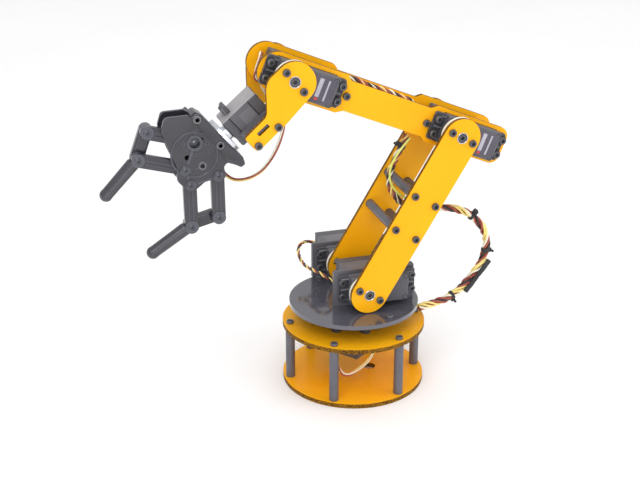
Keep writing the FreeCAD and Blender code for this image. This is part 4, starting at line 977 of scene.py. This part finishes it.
ARM = [(-37.2, -4, 172.4), (-34.6, -3, 166.5), (-28.5, 0, 158.0), (-22.8, 3, 148.5),
       (-23.4, 4, 137.5), (-30.0, 3, 128.0), (-39.5, 0.5, 122.3), (-48.6, -0.9, 119.8)]
arm = wires("arm_wires", ARM, HARNESS, 19.0, HARNESS_WIRE, "upper_arm", "arm_harness", "forearm",
            slack=0.3)
ties("arm_ties", arm, [(0.13, 200)], 2.2, "upper_arm", "forearm")
SLACK = [(-36.3, 4.5, 172.0), (-29.0, 8.0, 167.0), (-20.6, 10.0, 156.0), (-20.6, 10.5, 144.0),
         (-28.0, 10.0, 135.0), (-37.0, 5.0, 129.0), (-41.0, 1.5, 124.5)]
wires("slack_wire", SLACK, [(WIRE_GREEN, 0.0, 0.0)], 20.0, 0.72, "upper_arm", None, "forearm")
FORE = [(84, 3.0, -4), (80, 7.5, -3.4), (73.5, 9.6, -2.6), (63, 8.2, -1.8), (51, 8.8, -3.4),
        (39, 8.0, -2.4), (30, 8.2, -3), (25.8, 3.5, -4), (25.6, -3.5, -4.5), (24.6, -11.0, -4)]
wires("forearm_wires", [in_plane(ELBOW, FORE_ANGLE, *p) for p in FORE], HARNESS, 16.0, HARNESS_WIRE,
      "forearm", "forearm_harness", slack=0.25)

ROTATE = [(59.6, 3.5, 203.0), (58.2, 3.6, 206.5), (61.2, 3.2, 211.5), (64.4, 2.6, 218.0)]
ROTATE += [in_plane(ELBOW, FORE_ANGLE, *p)
           for p in ((137.5, -2.3, 1.6), (137.2, 4.0, -2.5), (135.8, 6.5, -9.0), (133.6, 1.0, -13.5),
                     (133.3, -7.0, -13.8), (132.3, -12.9, -13.8), (120.0, -12.1, -13.8),
                     (96.0, -12.0, -13.8), (87.0, -11.6, -12.8), (84.3, -6.0, -11.0), (84.2, 0.5, -10.0))]
wires("rotate_wires", ROTATE, wound(SLIM, WIRE_CREAM, WIRE_RED, WIRE_CREAM), 40.0, LEAD_WIRE, "wrist",
      "wrist_rotate_lead", "forearm")
GRIPPER = [in_plane(HAND, HAND_ANGLE, *p)
           for p in ((68, 1.8, -23), (68.4, -6.0, -23.5), (71, -15.0, -20))]
GRIPPER += [(82.5, -12, 150.0), (73.0, -6, 150.5), (64.3, 0, 156.5), (58.6, 6, 166.5),
            (54.8, 10.5, 177.5), (52.6, 13.6, 187.6), (52.0, 15.5, 196.0), (53.0, 16.5, 203.4)]
lead = wires("gripper_wires", GRIPPER, wound(0.72, WIRE_RED, WIRE_YELLOW, WIRE_CREAM), 120.0, 0.58,
             "hand", "gripper_lead", "wrist")
wires("base_wires", [(-9, 21, 33), (-7.5, 21.5, 26), (-3, 22, 19.5), (4, 22.5, 14.5), (11, 23.5, 12),
                     (17, 24.5, 15), (19, 25, 22)],
      wound(SLIM, WIRE_CREAM, WIRE_YELLOW, WIRE_RED), 60.0, LEAD_WIRE, "base", "base_servo_lead")
wires("shoulder_wires", [(9.2, -55, 79), (16, -54.6, 81.5), (23, -52, 82), (27, -46.5, 78),
                         (26.5, -38, 73.5), (24.5, -28, 72.5), (22.5, -19, 74.5), (19.5, -11, 74.5),
                         (14, -6, 71), (9.0, -5.5, 67)],
      wound(SLIM, WIRE_BLACK, WIRE_RED, WIRE_YELLOW), 9.0, LEAD_WIRE, "turntable", "shoulder_servo_lead")

# ---- floor, lights and camera

FLOOR_REACH, FLOOR_LEVEL, SKY = 6.0, -0.0002, 0.62
floor_mesh = bpy.data.meshes.new("floor")
floor_mesh.from_pydata([(x * FLOOR_REACH, y * FLOOR_REACH, FLOOR_LEVEL)
                        for x, y in ((-1, -1), (1, -1), (1, 1), (-1, 1))], [], [(0, 1, 2, 3)])
floor = bpy.data.objects.new("floor", floor_mesh)
bpy.context.collection.objects.link(floor)
floor_mesh.materials.append(
    surface("pale_floor", (0.93, 0.93, 0.935), (0.96, 0.96, 0.965), (0.7, 0.8), 40, 0.02, blotch=3,
            specular=0.15))

world = bpy.data.worlds.new("studio")
bpy.context.scene.world = world
world.use_nodes = True
world.node_tree.nodes["Background"].inputs["Color"].default_value = (1.0, 1.0, 1.0, 1)
world.node_tree.nodes["Background"].inputs["Strength"].default_value = SKY


def soft_light(name, spot, target, size, power):
    """A square lamp at a spot, turned to face its target."""
    data = bpy.data.lights.new(name, "AREA")
    data.shape = "SQUARE"
    data.size = size
    data.energy = power
    lamp = bpy.data.objects.new(name, data)
    lamp.matrix_world = Matrix.Translation(spot) @ (
        Vector(target) - Vector(spot)).to_track_quat("-Z", "Y").to_matrix().to_4x4()
    bpy.context.collection.objects.link(lamp)


AIM = (0.0, 0.0, 0.12)
soft_light("key_light", (0.55, 0.95, 1.15), AIM, 0.9, 7.6)
soft_light("top_light", (-0.3, -0.8, 2.6), (-0.3, -0.8, 0.0), 4.0, 44.0)
soft_light("side_light", (-0.9, 0.6, 0.5), AIM, 0.8, 3.0)
soft_light("low_light", (0.3, 1.3, 0.16), (0.0, 0.0, 0.02), 0.7, 2.6)

CAMERA_SPOT = (228.36, 677.11, 398.86)
CAMERA_WAY = (-0.26662, -0.88410, -0.38378)
FOCAL_LENGTH, SENSOR = 64.28, 36.0
camera_data = bpy.data.cameras.new("camera")
camera_data.lens = FOCAL_LENGTH
camera_data.sensor_width = SENSOR
camera_data.clip_start = 0.05
camera_data.clip_end = 30.0
camera = bpy.data.objects.new("camera", camera_data)
camera.rotation_euler = Vector(CAMERA_WAY).to_track_quat("-Z", "Y").to_euler()
camera.location = Vector(CAMERA_SPOT) * MM
bpy.context.collection.objects.link(camera)
bpy.context.scene.camera = camera
bpy.context.scene.view_settings.view_transform = "Standard"
